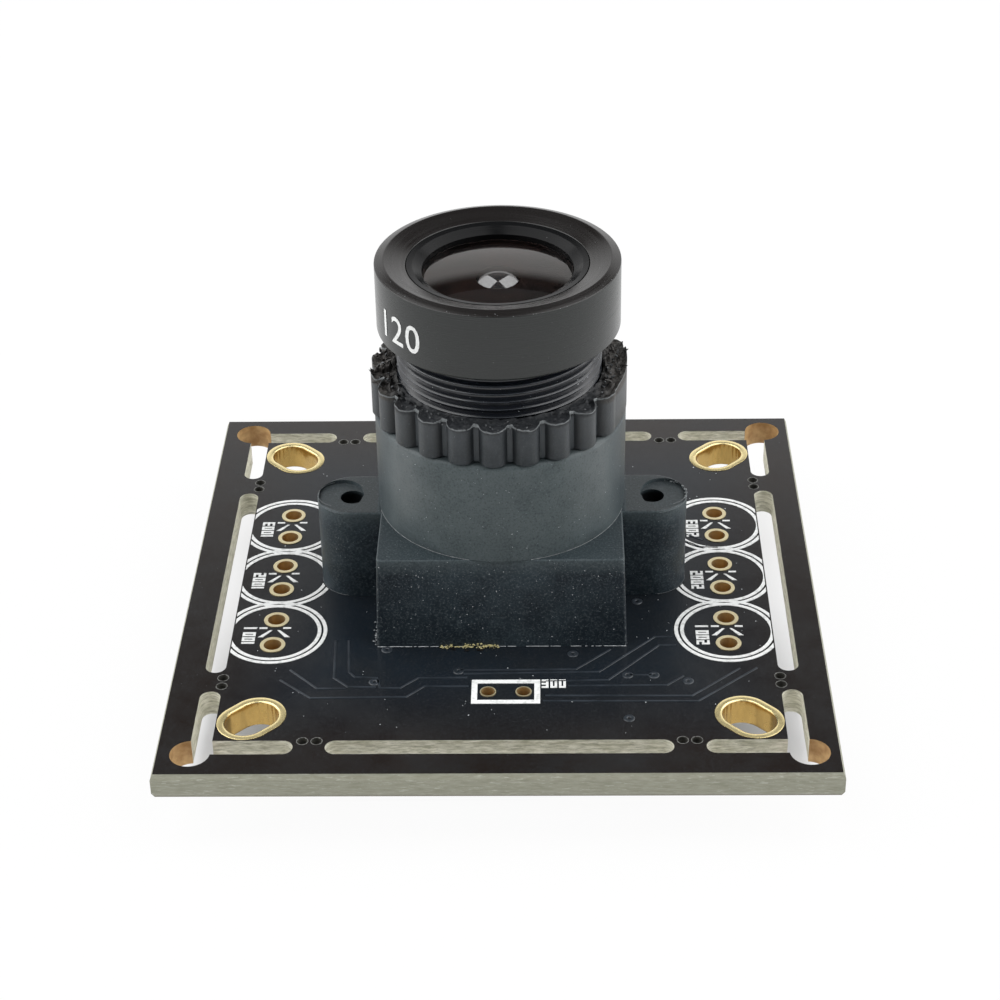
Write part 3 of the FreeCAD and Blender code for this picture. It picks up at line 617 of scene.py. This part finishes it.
def lens_barrel():
    """The turned head, neck and bore in one, and the thread's helix around the tail."""
    root = thread_r - thread_depth
    head = [(root, thread_end), (neck_r, thread_end + 0.02), (neck_r, neck_end),
            (head_r - head_bevel, neck_end), (head_r, neck_end + head_bevel),
            (head_r, head_edge_z), (head_inner_r, head_top), (cone_r, cone_z),
            (cone_r, glass_lo.z), (bore_r, glass_lo.z), (bore_r, tail_ledge_z),
            (tail_hole_r, tail_ledge_z), (tail_hole_r, barrel_lo.z), (root - 0.1, barrel_lo.z),
            (root, barrel_lo.z + 0.15), (root, thread_start)]
    body = lathe("lens_barrel_turned", rounded(head, 0.05), head_mat, turn_steps)
    thread = made("lens_barrel_thread", *thread_surface(), thread_mat, 40)
    for part in (body, thread):
        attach(part, "lens_barrel")
    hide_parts("lens_barrel")


# Front element: a clear dome over a blackened back with a small glossy hollow

def dome(radius, low, high, steps=14):
    """(radius, z) values of a spherical cap, from its middle outwards."""
    rise = high - low
    ball = (radius ** 2 + rise ** 2) / (2 * rise)
    radii = [radius * k / steps for k in range(steps + 1)]
    return [(r, high - ball + sqrt(ball ** 2 - r ** 2)) for r in radii]


def front_element():
    outer = glass_hi.x - axis.x
    low = glass_lo.z
    back = low + hollow_lift
    shoulder = glass_hi.z - glass_shoulder
    face = dome(glass_aperture, glass_rim_z, glass_hi.z, 24)
    face += [(glass_aperture + 0.01, shoulder), (outer, shoulder), (outer, low)]
    clear = lathe("front_element_dome", face, glass_mat, 128)
    hollow = lathe("front_element_hollow", dome(hollow_r, back, back + hollow_h), hollow_mat, 96)
    middle = Matrix.Translation(Vector((axis.x, axis.y, back)) * MM)
    hollow.data.transform(middle @ turn(hollow_tilt, "X") @ middle.inverted())
    near, far = hollow_r - 0.01, outer - 0.02
    ring = [(near, back), (far, back), (far, low), (near, low), (near, back)]
    black = lathe("front_element_black", ring, back_mat, 96)
    for part in (clear, hollow, black):
        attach(part, "lens_stack")
    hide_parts("front_element")


# Plated mounting slots

def slot_outline(width, length, step):
    """Points and outward directions around a slot, in its own frame."""
    r = width / 2
    run = (length - width) / 2
    arc_steps = int(pi * r / step)
    line_steps = int(2 * run / step)
    outline = []
    for side in (1, -1):
        for n in range(arc_steps):
            out = around(side, pi * n / arc_steps, 0, Vector())
            outline.append((Vector((side * run, 0, 0)) + out * r, out))
        for n in range(line_steps):
            place = Vector((side * run * (1 - 2 * n / line_steps), side * r, 0))
            outline.append((place, Vector((0, side, 0))))
    return outline


def mounting_slots():
    """Gold sleeves with a soft inner edge and the ridges that the drill left in the walls."""
    top = board_top + plate_t
    upper = [(mount_rim, board_top), (mount_rim, top - 0.012), (mount_rim - 0.03, top), (0.15, top),
             (0.07, top - 0.02), (0.02, top - 0.07), (0.0, top - 0.16)]
    profile = upper + [(0, z) for z in (1.25, 1.0, 0.75, 0.5, 0.3)]
    profile += [(offset, board_top - z) for offset, z in upper[::-1]]
    loop = slot_outline(mount_w, mount_len, 0.035)
    rows = []
    walked = 0.0
    for n, (place, out) in enumerate(loop):
        walked += (place - loop[n - 1][0]).length
        cusp = abs((walked / ridge_step) % 1 - 0.5) * 2
        ridge = ridge_h * (1 - cusp ** 2.2) * abs(out.x) ** 1.5
        rows.append([place + out * (offset or ridge) + Vector((0, 0, z)) for offset, z in profile])
    rows.append(rows[0])
    points, faces = [], []
    for sx, sy in corners:
        faces += grid_faces(len(rows), len(profile), len(points))
        place = Matrix.Translation((sx * mount_at, sy * mount_at, 0)) @ turn(45 * sx * sy, "Z")
        points += [place @ point for row in rows for point in row]
    sleeves = made("mounting_slot_sleeves", points, faces, slot_gold_mat, 34)
    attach(sleeves, "camera_body")
    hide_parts("mounting_slot_plating")


# Lock ring, torn along its upper edge

def ring_radius(angle):
    """Outer radius of the toothed ring at an angle from its first lobe, in radians."""
    step = 2 * pi / lobes
    off = abs((angle + step / 2) % step - step / 2)
    centre = ring_out_r - lobe_r
    inside = lobe_r ** 2 - (centre * sin(off)) ** 2
    toothed = max(groove_r, centre * cos(off) + sqrt(inside)) if inside > 0 else groove_r
    along = angle % (2 * pi) / step
    if lug_first < along < lug_last:
        lug = ring_out_r - lug_drop
        return max(lug, toothed) if along < lug_first + 0.5 or along > lug_last - 0.5 else lug
    return toothed


def side_tear(angle):
    """How badly the ring is torn at an angle: (left, right) shares. Degrees from -Y towards +X."""
    return exp(-((angle + 84) / 24) ** 2), exp(-((angle - 88) / 30) ** 2)


def tear(angle, share):
    """Height of the torn top at an angle and a share of the ring's width."""
    a = radians(angle)
    place = Vector((sin(a) * 3.4, -cos(a) * 3.4, share * 1.3))
    rough = 0.07 * noise.noise(place * 3.1) + 0.06 * noise.noise(place * 7.3)
    left, right = side_tear(angle)
    ridge = max(0.0, noise.noise(place * 4.0 + Vector((7, 3, 1)))) ** 1.2
    raised = 0.22 * left * share + right * (0.12 + 0.35 * share)
    return rough * (1 + 1.1 * (left + right)) + ridge * (0.75 * left + 0.45 * right) + raised


def around_ring(theta, r, z):
    return around(r, radians(lobe_phase) + theta, z)


def ring_angle(theta):
    return (degrees(theta) + lobe_phase + 180) % 360 - 180


def ring_outline():
    """(angle, radius) values around the lobes, from the first lobe back to it."""
    columns = lobes * steps_per_lobe
    angles = [2 * pi * j / columns for j in range(columns + 1)]
    return [(theta, ring_radius(theta)) for theta in angles]


def ring_mesh(name, rows, material, smooth):
    points = [point for row in rows for point in row]
    return made(name, points, grid_faces(len(rows), len(rows[0])), material, smooth)


def lock_ring():
    outline = ring_outline()
    inner = ring_bore_r + 0.06
    rows = []
    for k in range(torn_top_steps + 1):
        share = k / torn_top_steps
        hollow = 0.10 * sin(pi * min(1.0, share * 1.08)) ** 0.7
        rows.append([around_ring(theta, inner + (r - inner) * share,
                                 ring_hi.z - 0.03 - hollow + tear(ring_angle(theta), share))
                     for theta, r in outline])
    third = ring_foot / 3
    for inset, z in ((0, ring_hi.z - 0.12), (0, ring_hi.z - 0.5), (0, ring_hi.z - 1.1),
                     (0, ring_lo.z + ring_foot), (third, ring_lo.z + third), (ring_foot, ring_lo.z)):
        rows.append([around_ring(theta, r - inset, z) for theta, r in outline])
    for z in (ring_lo.z, ring_hi.z - 0.1):
        rows.append([around_ring(theta, ring_bore_r, z) for theta, _ in outline])
    rows.append(rows[0])
    ring = ring_mesh("lock_ring_torn", rows, ring_mat, 40)
    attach(ring, "lock_ring")
    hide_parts("lock_ring")


def ring_lip():
    """The frayed pale lip along the lobes' upper edge, higher and thicker in the grooves, partly a painted
    highlight along that edge.
    """
    rows = []
    for theta, r in ring_outline():
        angle = ring_angle(theta)
        right = side_tear(angle)[1]
        deep = (ring_out_r - r) / ring_groove
        wave = noise.noise((angle * 0.35, 3, 0)) + 0.6 * noise.noise((angle * 1.1, 9, 0))
        thick = max(0.012, (0.032 + 0.045 * deep ** 4 + 0.025 * wave) * (1 - 0.8 * right))
        high = max(0.0, 0.03 + 0.10 * deep ** 5 + 0.05 * wave) * (1 - 0.7 * right)
        base = ring_hi.z - 0.05 + tear(angle, 1.0)
        rows.append([around_ring(theta, r + out, base + up) for out, up in (
            (0.008, -0.05), (0.01, high * 0.6), (-thick * 0.5, high), (-thick, -0.03))])
    lip = ring_mesh("lock_ring_lip", rows, flash_and_highlight_mat, 60)
    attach(lip, "lock_ring")


def sideways(along, least):
    """A level direction across another one, or X where that one stands upright."""
    side = along.cross(Vector((0, 0, 1)))
    return side.normalized() if side.length > least else Vector((1, 0, 0))


def sleeve_faces(start, count):
    """Quads around one length of a bar, from a ring of points to the next ring."""
    return [(start + n, start + (n + 1) % count, start + count + (n + 1) % count, start + count + n)
            for n in range(count)]


def shard(points, faces, place, direction, length, width, rng):
    """A torn flap: a bent, pointed strip standing on the ring."""
    side = sideways(direction, 0.01)
    start = len(points)
    steps = 4
    bend = Vector((rng.uniform(-0.5, 0.5), rng.uniform(-0.5, 0.5), 0))
    for k in range(steps + 1):
        t = k / steps
        centre = place + direction * length * t + bend * length * t * t
        half = side * (width * (1 - t) ** 0.6 / 2 + 0.012)
        thick = direction.cross(side) * (0.07 * (1 - t) + 0.015)
        points += [centre - half, centre + thick, centre + half, centre - thick]
    for k in range(steps):
        faces += sleeve_faces(start + 4 * k, 4)
    end = start + 4 * steps
    faces += [(start, start + 3, start + 2, start + 1), (end, end + 1, end + 2, end + 3)]


def ring_burrs():
    """Loose flaps along the torn edge, most of them at both sides.

    Each bunch has a middle and a spread in degrees, a count and a reach."""
    rng = random.Random(11)
    groups = (("dark", ring_mat, ((-86, 15, 30, 0.5), (88, 16, 22, 0.36), (0, 180, 60, 0.12))),
              ("pale", fray_mat, ((-84, 17, 16, 0.34), (84, 18, 12, 0.24), (0, 180, 70, 0.09))))
    for label, material, parts in groups:
        points, faces = [], []
        for middle, spread, count, reach in parts:
            for _ in range(count):
                facing = rng.gauss(middle, spread) if spread < 180 else rng.uniform(-180, 180)
                angle = radians(facing)
                share = rng.uniform(0.15, 0.95)
                place = around(ring_bore_r + 1.4 * share, angle, ring_hi.z - 0.1 + tear(facing, share))
                lean = around(1, angle, 0, Vector()) * rng.uniform(-0.4, 0.9)
                wild = Vector((rng.uniform(-0.6, 0.6), rng.uniform(-0.6, 0.6), rng.uniform(0.3, 1.0)))
                direction = (wild + lean).normalized()
                length = reach * rng.uniform(0.5, 1.1)
                shard(points, faces, place, direction, length, rng.uniform(0.1, 0.34) * (reach + 0.3), rng)
        burrs = made(f"lock_ring_burrs_{label}", points, faces, material, 50)
        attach(burrs, "lock_ring")


# Thin pale lines where the mould parts met and where the lacquer ends, and painted highlights along the
# holder's edges

seam_step = 0.12


def seam(name, routes, size, material, body, seed, share):
    """Broken, uneven ropes along routes of points, for mould flash, worn edges and painted highlights along
    edges.
    """
    rng = random.Random(seed)
    points, faces = [], []
    for route in routes:
        route = [Vector(p) for p in route]
        dense = []
        for a, b in zip(route, route[1:]):
            steps = max(1, int((b - a).length / seam_step))
            dense += [a.lerp(b, n / steps) for n in range(steps)]
        dense.append(route[-1])
        offset = rng.uniform(0, 50)
        for n in range(len(dense) - 1):
            level = noise.noise((n * 0.09 + offset, 0, 0)) * 0.5 + 0.5
            if level > share or rng.random() > share + 0.25:
                continue
            along = (dense[n + 1] - dense[n]).normalized()
            side = sideways(along, 0.1)
            up = side.cross(along)
            faces += sleeve_faces(len(points), 4)
            for end in (n, n + 1):
                thick = size * max(0.3, 0.6 + 0.8 * noise.noise((end * 0.7 + offset, 5, 0)))
                points += [dense[end] + way * thick for way in (side, up, -side, -up)]
    obj = made(name, points, faces, material, 60)
    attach(obj, body)


def arc(centre, r, start, end, z, steps=40):
    """Points of an arc, in degrees from -Y towards +X."""
    return [around(r, radians(start + (end - start) * n / steps), z, centre) for n in range(steps + 1)]


def flash_and_painted_highlights():
    top = board_top + 0.01
    x0, x1 = axis.x - base_half, axis.x + base_half
    front, back = axis.y - base_half, axis.y + base_half
    foot = [[(x0 + 0.05, front - 0.01, top), (x1 - 0.05, front - 0.01, top)]]
    sides = [[(x, front + 0.2, top), (x, axis.y - ear_r - 0.1, top)] for x in (x0, x1)]
    sides.append([(x0 + 0.05, back, top), (x1 - 0.05, back, top)])
    ears, pockets = [], []
    for side in (-1, 1):
        ear = (axis.x + side * ear_at, axis.y)
        ears.append(arc(ear, ear_r, side * 10, side * 170, top))
        ears.append(arc(ear, ear_r, side * 10, side * 93.5, base_top - 0.1))
        pocket = (axis.x + side * ear_pocket_at, axis.y)
        pockets.append(arc(pocket, ear_pocket_r, side * 20, side * 160, base_top + 0.005))
    edges = []
    for sx, sy in corners:
        low = base_half - 0.08
        edges.append([(axis.x + sx * (low - inset), axis.y + sy * (low - inset), z)
                      for inset, z in ((0, board_top), (base_draft, base_top - 0.1))])
    arcs = [arc(axis, tube_r + 0.005, a, b, base_top + 0.012)
            for a, b in ((14, 76), (-76, -14), (104, 166), (-166, -104))]
    rim = [arc(axis, tube_r - 0.03, -178, 178, holder_top - 0.22, 90)]
    for name, routes, size, material, seed, share in (
        ("base_foot_line", foot, 0.028, dust_mat, 21, 0.62),
        ("base_foot_sides", sides, 0.02, flash_and_highlight_mat, 22, 0.7),
        ("ear_foot_lines", ears, 0.02, flash_and_highlight_mat, 23, 0.72),
        # Painted highlight: pale lines down the base's corners.
        ("base_edge_lines", edges, 0.024, pale_grit_and_highlight_mat, 24, 0.8),
        # Painted highlight: pale arcs where the tube meets the base.
        ("tube_foot_arcs", arcs, 0.024, pale_grit_and_highlight_mat, 25, 0.85),
        # Painted highlight: a pale line around the rounding at the tube's top.
        ("tube_rim_line", rim, 0.02, flash_and_highlight_mat, 28, 0.75),
        ("ear_pocket_rims", pockets, 0.026, flash_and_highlight_mat, 26, 0.8),
    ):
        seam(name, routes, size, material, "camera_body", seed, share)


def bite_halos():
    """Pale laminate showing around the break-off holes, where the drill lifted the lacquer."""
    routes = []
    for sx, sy in corners:
        for along in (bite_at - bite_spread, bite_at + bite_spread):
            for x, y in ((along, bite_across), (bite_across, along)):
                routes.append(arc((sx * x, sy * y), bite_halo_r, 0, 360, board_top + 0.004, 24))
    seam("break_off_halos", routes, 0.042, halo_mat, "camera_body", 27, 0.95)


# Tracks and vias under the lacquer

TRACKS = (
    ((-9.87, -6.6), (-9.71, -10.3), (-8.83, -11.17), (-7.21, -11.19)),
    ((-9.09, -6.6), (-8.87, -9.72), (-8.49, -10.23), (-7.2, -10.31), (-6.97, -11.27), (-5.81, -11.28),
     (-4.82, -10.33), (-1.95, -10.31)),
    ((-12.84, -10.47), (-10.94, -12.2), (-5.42, -12.13), (-4.43, -11.14), (-1.85, -11.15)),
    ((-12.34, -9.5), (-10.61, -11.31), (-8.93, -11.32)),
    ((-2.45, -9.6), (4.35, -9.55), (6.41, -7.6)),
    ((-2.2, -9.95), (5.69, -9.8), (9.06, -6.36), (10.1, -6.37)),
    ((2.6, -10.7), (6.22, -10.58), (9.27, -7.21), (10.3, -7.21)),
    ((3.9, -11.13), (9.6, -11.1), (10.6, -10.2)),
    ((2.57, -12.05), (10.99, -12.11), (13.9, -9.5)),
    ((2.45, -12.55), (11.33, -12.6), (14.9, -9.46)),
    ((7.35, -10.12), (8.87, -10.13)),
    ((9.2, 5.4), (12.3, 3.2), (13.4, 3.1)),
    ((8.2, 6.6), (12.5, 4.0)),
)
VIAS = ((-6.78, -7.55), (4.2, -8.03), (-7.33, -10.7), (-2.48, -9.67), (8.87, -10.13), (7.35, -10.12),
        (10.83, -10.71), (7.32, -14.19), (8.14, -2.7), (-11.9, 8.9), (9.7, 9.9))
track_w = 0.15
track_t = 0.03
via_sides = 20


def tracks():
    """Low bars along the tracks, and rings with a dimple for the vias."""
    points, faces = [], []
    z0, z1 = board_top - 0.005, board_top + track_t
    for route in TRACKS:
        path = [Vector((x, y, 0)) for x, y in route]
        faces += grid_faces(len(path), 4, len(points))
        for n, place in enumerate(path):
            before = (place - path[n - 1]).normalized() if n else (path[1] - place).normalized()
            after = (path[n + 1] - place).normalized() if n + 1 < len(path) else before
            along = (before + after).normalized()
            side = Vector((-along.y, along.x, 0)) / max(0.5, along.dot(after))
            for offset, z in ((-0.5, z0), (-0.34, z1), (0.34, z1), (0.5, z0)):
                points.append(place + side * track_w * offset + Vector((0, 0, z)))
    for centre in VIAS:
        for k, (r, z) in enumerate(((0.34, z0), (0.28, z1), (0.15, z1), (0.1, z0 + 0.006))):
            if k:
                faces += sleeve_faces(len(points) - via_sides, via_sides)
            points += [around(r, 2 * pi * n / via_sides, z, centre) for n in range(via_sides)]
    obj = made("copper_tracks", points, faces, copper_mat, 30)
    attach(obj, "camera_body")


# Loose dirt

def speck(points, faces, place, size, rng):
    """An irregular eight-faced grain."""
    start = len(points)
    spun = turn(rng.uniform(0, 180), "Z")
    for way in ((1, 0, 0), (0, 1, 0), (-1, 0, 0), (0, -1, 0), (0, 0, 0.6), (0, 0, -0.6)):
        points.append(place + spun @ (Vector(way) * size * rng.uniform(0.5, 1.3)))
    for n in range(4):
        m = (n + 1) % 4
        faces += [(start + n, start + m, start + 4), (start + m, start + n, start + 5)]


def grains(name, material, body, places, seed):
    """One mesh of grains at the places and of the sizes that a generator gives."""
    rng = random.Random(seed)
    points, faces = [], []
    for place, size in places(rng):
        speck(points, faces, place, size, rng)
    obj = made(name, points, faces, material, 60)
    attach(obj, body)


def board_dust(rng):
    """Grains over the board inside its slots, but not under the holder."""
    reach = 15.6
    for _ in range(150):
        x, y = rng.uniform(-reach, reach), rng.uniform(-reach, reach)
        if max(abs(x - axis.x), abs(y - axis.y)) >= base_half + 0.4:
            yield Vector((x, y, board_top + 0.01)), rng.choice((0.025, 0.03, 0.035, 0.05))


def front_angle(rng):
    """An angle somewhere on the side towards -Y."""
    return rng.uniform(-1.5, 1.5)


def front_dust(rng, count, r, low, high, sizes):
    """Grains on the front of a turned wall, between two heights."""
    for _ in range(count):
        yield around(r, front_angle(rng), rng.uniform(low, high)), rng.choice(sizes)


def holder_dust(rng):
    """Grains on the front of the base and of the tube."""
    for _ in range(240):
        x = rng.uniform(0.1 - base_half, base_half - 0.1)
        z = rng.uniform(board_top + 0.3, board_top + 5.8)
        lean = base_draft * (z - board_top) / 6.0
        size = rng.choice((0.012, 0.015, 0.02, 0.025, 0.04))
        yield Vector((axis.x + x, axis.y - base_half + lean, z)), size
    yield from front_dust(rng, 60, tube_r + 0.01, board_top + 6.5, holder_top - 0.3, (0.012, 0.02, 0.03))


def base_crumbs(rng):
    """The yellowish crumbs at the foot of the base, towards the light sensor."""
    for _ in range(130):
        x = rng.uniform(-3.6, -0.1)
        y = axis.y - base_half - 0.03 - abs(rng.gauss(0, 0.08))
        yield Vector((x, y, board_top + abs(rng.gauss(0, 0.11)))), rng.uniform(0.03, 0.09)


def dark_lumps(rng):
    """Dark lumps beside the crumbs."""
    for x, y in ((-2.83, -7.52), (-1.29, -7.66), (-2.0, -7.7)):
        for _ in range(5):
            yield Vector((x + rng.gauss(0, 0.12), y + rng.gauss(0, 0.04), board_top + 0.04)), 0.11


def side_burrs(rng):
    """Frayed flash on the left side of the base."""
    for _ in range(26):
        y = rng.uniform(-7.2, -4.6)
        x = axis.x - base_half - 0.02 - abs(rng.gauss(0, 0.08))
        yield Vector((x, y, board_top + abs(rng.gauss(0, 0.25)))), rng.uniform(0.04, 0.1)


def thread_dust(rng):
    """Grains on the thread's front, and a few together on its right."""
    yield from front_dust(rng, 60, thread_r + 0.005, ring_hi.z + 0.2, thread_end - 0.2, (0.015, 0.02, 0.03))
    for _ in range(7):
        a = rng.uniform(0.85, 1.05)
        yield around(thread_r + 0.015, a, ring_hi.z + rng.uniform(0.8, 1.6)), 0.05


def head_dust(rng):
    """Grains on the head's side, along its edge and on its sloping top."""
    yield from front_dust(rng, 70, head_r, neck_end + 0.3, head_edge_z, (0.01, 0.013, 0.018))
    for _ in range(40):
        a = front_angle(rng)
        r = head_r - abs(rng.gauss(0, 0.12))
        z = head_top - head_fall * max(0.0, r - head_inner_r) / (head_r - head_inner_r)
        yield around(r, a, z), rng.choice((0.012, 0.018, 0.028))
    for _ in range(14):
        yield around(5.9, rng.uniform(-pi, pi), head_top - 0.18), 0.022


def glass_dust(rng):
    for _ in range(16):
        a = rng.uniform(-pi, pi)
        share = rng.uniform(0.02, 0.85)
        z = glass_hi.z - (glass_hi.z - glass_rim_z) * share - 0.01
        yield around(glass_aperture * sqrt(share), a, z), rng.choice((0.01, 0.014, 0.02))


def ear_chips(rng):
    """Frayed plastic around the far side of the right ear's pocket."""
    pocket = (axis.x + ear_pocket_at, axis.y)
    for _ in range(30):
        a = radians(rng.uniform(60, 175))
        r = ear_pocket_r + rng.gauss(0, 0.06)
        yield around(r, a, base_top, pocket), rng.uniform(0.03, 0.075)


# Number on the lens head

def head_number():
    """A plain number bent around the head's side."""
    curve = bpy.data.curves.new("head_number", "FONT")
    curve.body = "120"
    curve.size = number_h
    curve.space_character = number_spacing
    curve.offset = number_weight
    curve.align_x = "CENTER"
    curve.align_y = "CENTER"
    curve.resolution_u = 4
    holder = placed("head_number_curve", curve)
    bpy.context.view_layer.update()
    mesh = bpy.data.meshes.new_from_object(holder)
    bpy.data.objects.remove(holder)
    mesh.materials.clear()
    bm = bmesh.new()
    bm.from_mesh(mesh)
    bmesh.ops.triangulate(bm, faces=bm.faces)
    for _ in range(2):
        long = [edge for edge in bm.edges if edge.calc_length() > 0.25]
        bmesh.ops.subdivide_edges(bm, edges=long, cuts=1)
        bmesh.ops.triangulate(bm, faces=bm.faces)
    for vert in bm.verts:
        x, y, _ = vert.co
        vert.co = around(head_r + number_lift, radians(number_azimuth) + x / head_r, number_z + y)
    bm.to_mesh(mesh)
    bm.free()
    number = link("head_number", mesh, ink_mat)
    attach(number, "lens_barrel")
    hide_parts("lens_print")


# The whole object

lens_barrel()
front_element()
head_number()
lock_ring()
ring_lip()
ring_burrs()
mounting_slots()
flash_and_painted_highlights()
bite_halos()
tracks()
grains("board_dust", dust_mat, "camera_body", board_dust, 3)
grains("holder_dust", dust_mat, "camera_body", holder_dust, 4)
grains("base_crumbs", crumb_mat, "camera_body", base_crumbs, 5)
grains("dark_lumps", inside_mat, "camera_body", dark_lumps, 6)
grains("base_side_burrs", pale_grit_and_highlight_mat, "camera_body", side_burrs, 8)
grains("thread_dust", dust_mat, "lens_barrel", thread_dust, 9)
grains("head_dust", pale_grit_and_highlight_mat, "lens_barrel", head_dust, 12)
grains("glass_dust", pale_grit_and_highlight_mat, "lens_stack", glass_dust, 13)
grains("ear_chips", pale_grit_and_highlight_mat, "camera_body", ear_chips, 14)


# Studio

def pale_floor():
    """What the camera, gloss and glass see of the floor is lit by itself, the rest is plain."""
    s = Shade("pale_floor")
    ray = s.add("LightPath").outputs
    seen = Value(s, ray["Is Camera Ray"])
    for kind in ("Is Glossy Ray", "Is Transmission Ray"):
        seen = s.math("ADD", seen, Value(s, ray[kind]), clamp=True)
    x, y, _ = s.split()
    clear = s.ramp(abs(x), *floor_clear_aside, smooth=True)
    for low, high in (floor_clear_front, floor_clear_back):
        clear = s.math("MAXIMUM", clear, s.ramp(y, low, high, smooth=True))
    under = s.ramp(y, *floor_under, floor_share_front, floor_share_back, smooth=True)
    share = s.math("MAXIMUM", under, clear * floor_share) * seen
    matt = s.out("BsdfDiffuse", {"Color": (0.82, 0.82, 0.82)})
    return s.show(s.out("MixShader", {0: share, 1: matt, 2: s.out("Emission")}))


def white_wall():
    """A wall that is lit below and fades into the dark above, higher up behind the object."""
    s = Shade("white_wall")
    _, y, z = s.split()
    lit_to, dark_from = [s.ramp(y, *wall_span, front, back) for front, back in zip(wall_front, wall_back)]
    return s.show(s.out("Emission", {"Strength": s.ramp(z, dark_from, lit_to, smooth=True)}))


def studio():
    """The floor, the wall around it, a panel of light to each side and a faint light from all over."""
    sides = 96
    rim = [around(wall_r, 2 * pi * n / sides, floor_z, Vector()) for n in range(sides)]
    floor = made("floor", rim, [tuple(range(sides))], pale_floor())
    crown = [Vector((place.x, place.y, wall_top)) for place in rim]
    wall = made("wall", rim + crown, sleeve_faces(0, sides), white_wall())
    for side in (-1, 1):
        data = bpy.data.lights.new("panel_left" if side < 0 else "panel_right", "AREA")
        data.shape = "SQUARE"
        data.size = panel_side * MM
        data.energy = panel_energy
        lean = turn(side * panel_lean, "Y")
        away = lean @ Vector((0, 0, panel_away)) + Vector((0, 0, head_top))
        placed(data.name, data).matrix_world = Matrix.Translation(away * MM) @ lean @ turn(45, "Z")
    world = bpy.data.worlds.new("studio")
    bpy.context.scene.world = world
    world.use_nodes = True
    background = world.node_tree.nodes["Background"]
    background.inputs["Color"].default_value = (*world_colour, 1)
    background.inputs["Strength"].default_value = world_strength


def camera():
    data = bpy.data.cameras.new("camera")
    data.lens = camera_lens
    data.clip_start = 0.005
    data.clip_end = 10
    cam = placed("camera", data)
    facing = turn(camera_yaw, "Z") @ turn(90 - camera_pitch, "X") @ turn(camera_roll, "Z")
    cam.matrix_world = Matrix.Translation(camera_place * MM) @ facing
    bpy.context.scene.camera = cam


studio()
camera()
bpy.context.scene.view_settings.view_transform = "Standard"

bpy.context.view_layer.update()
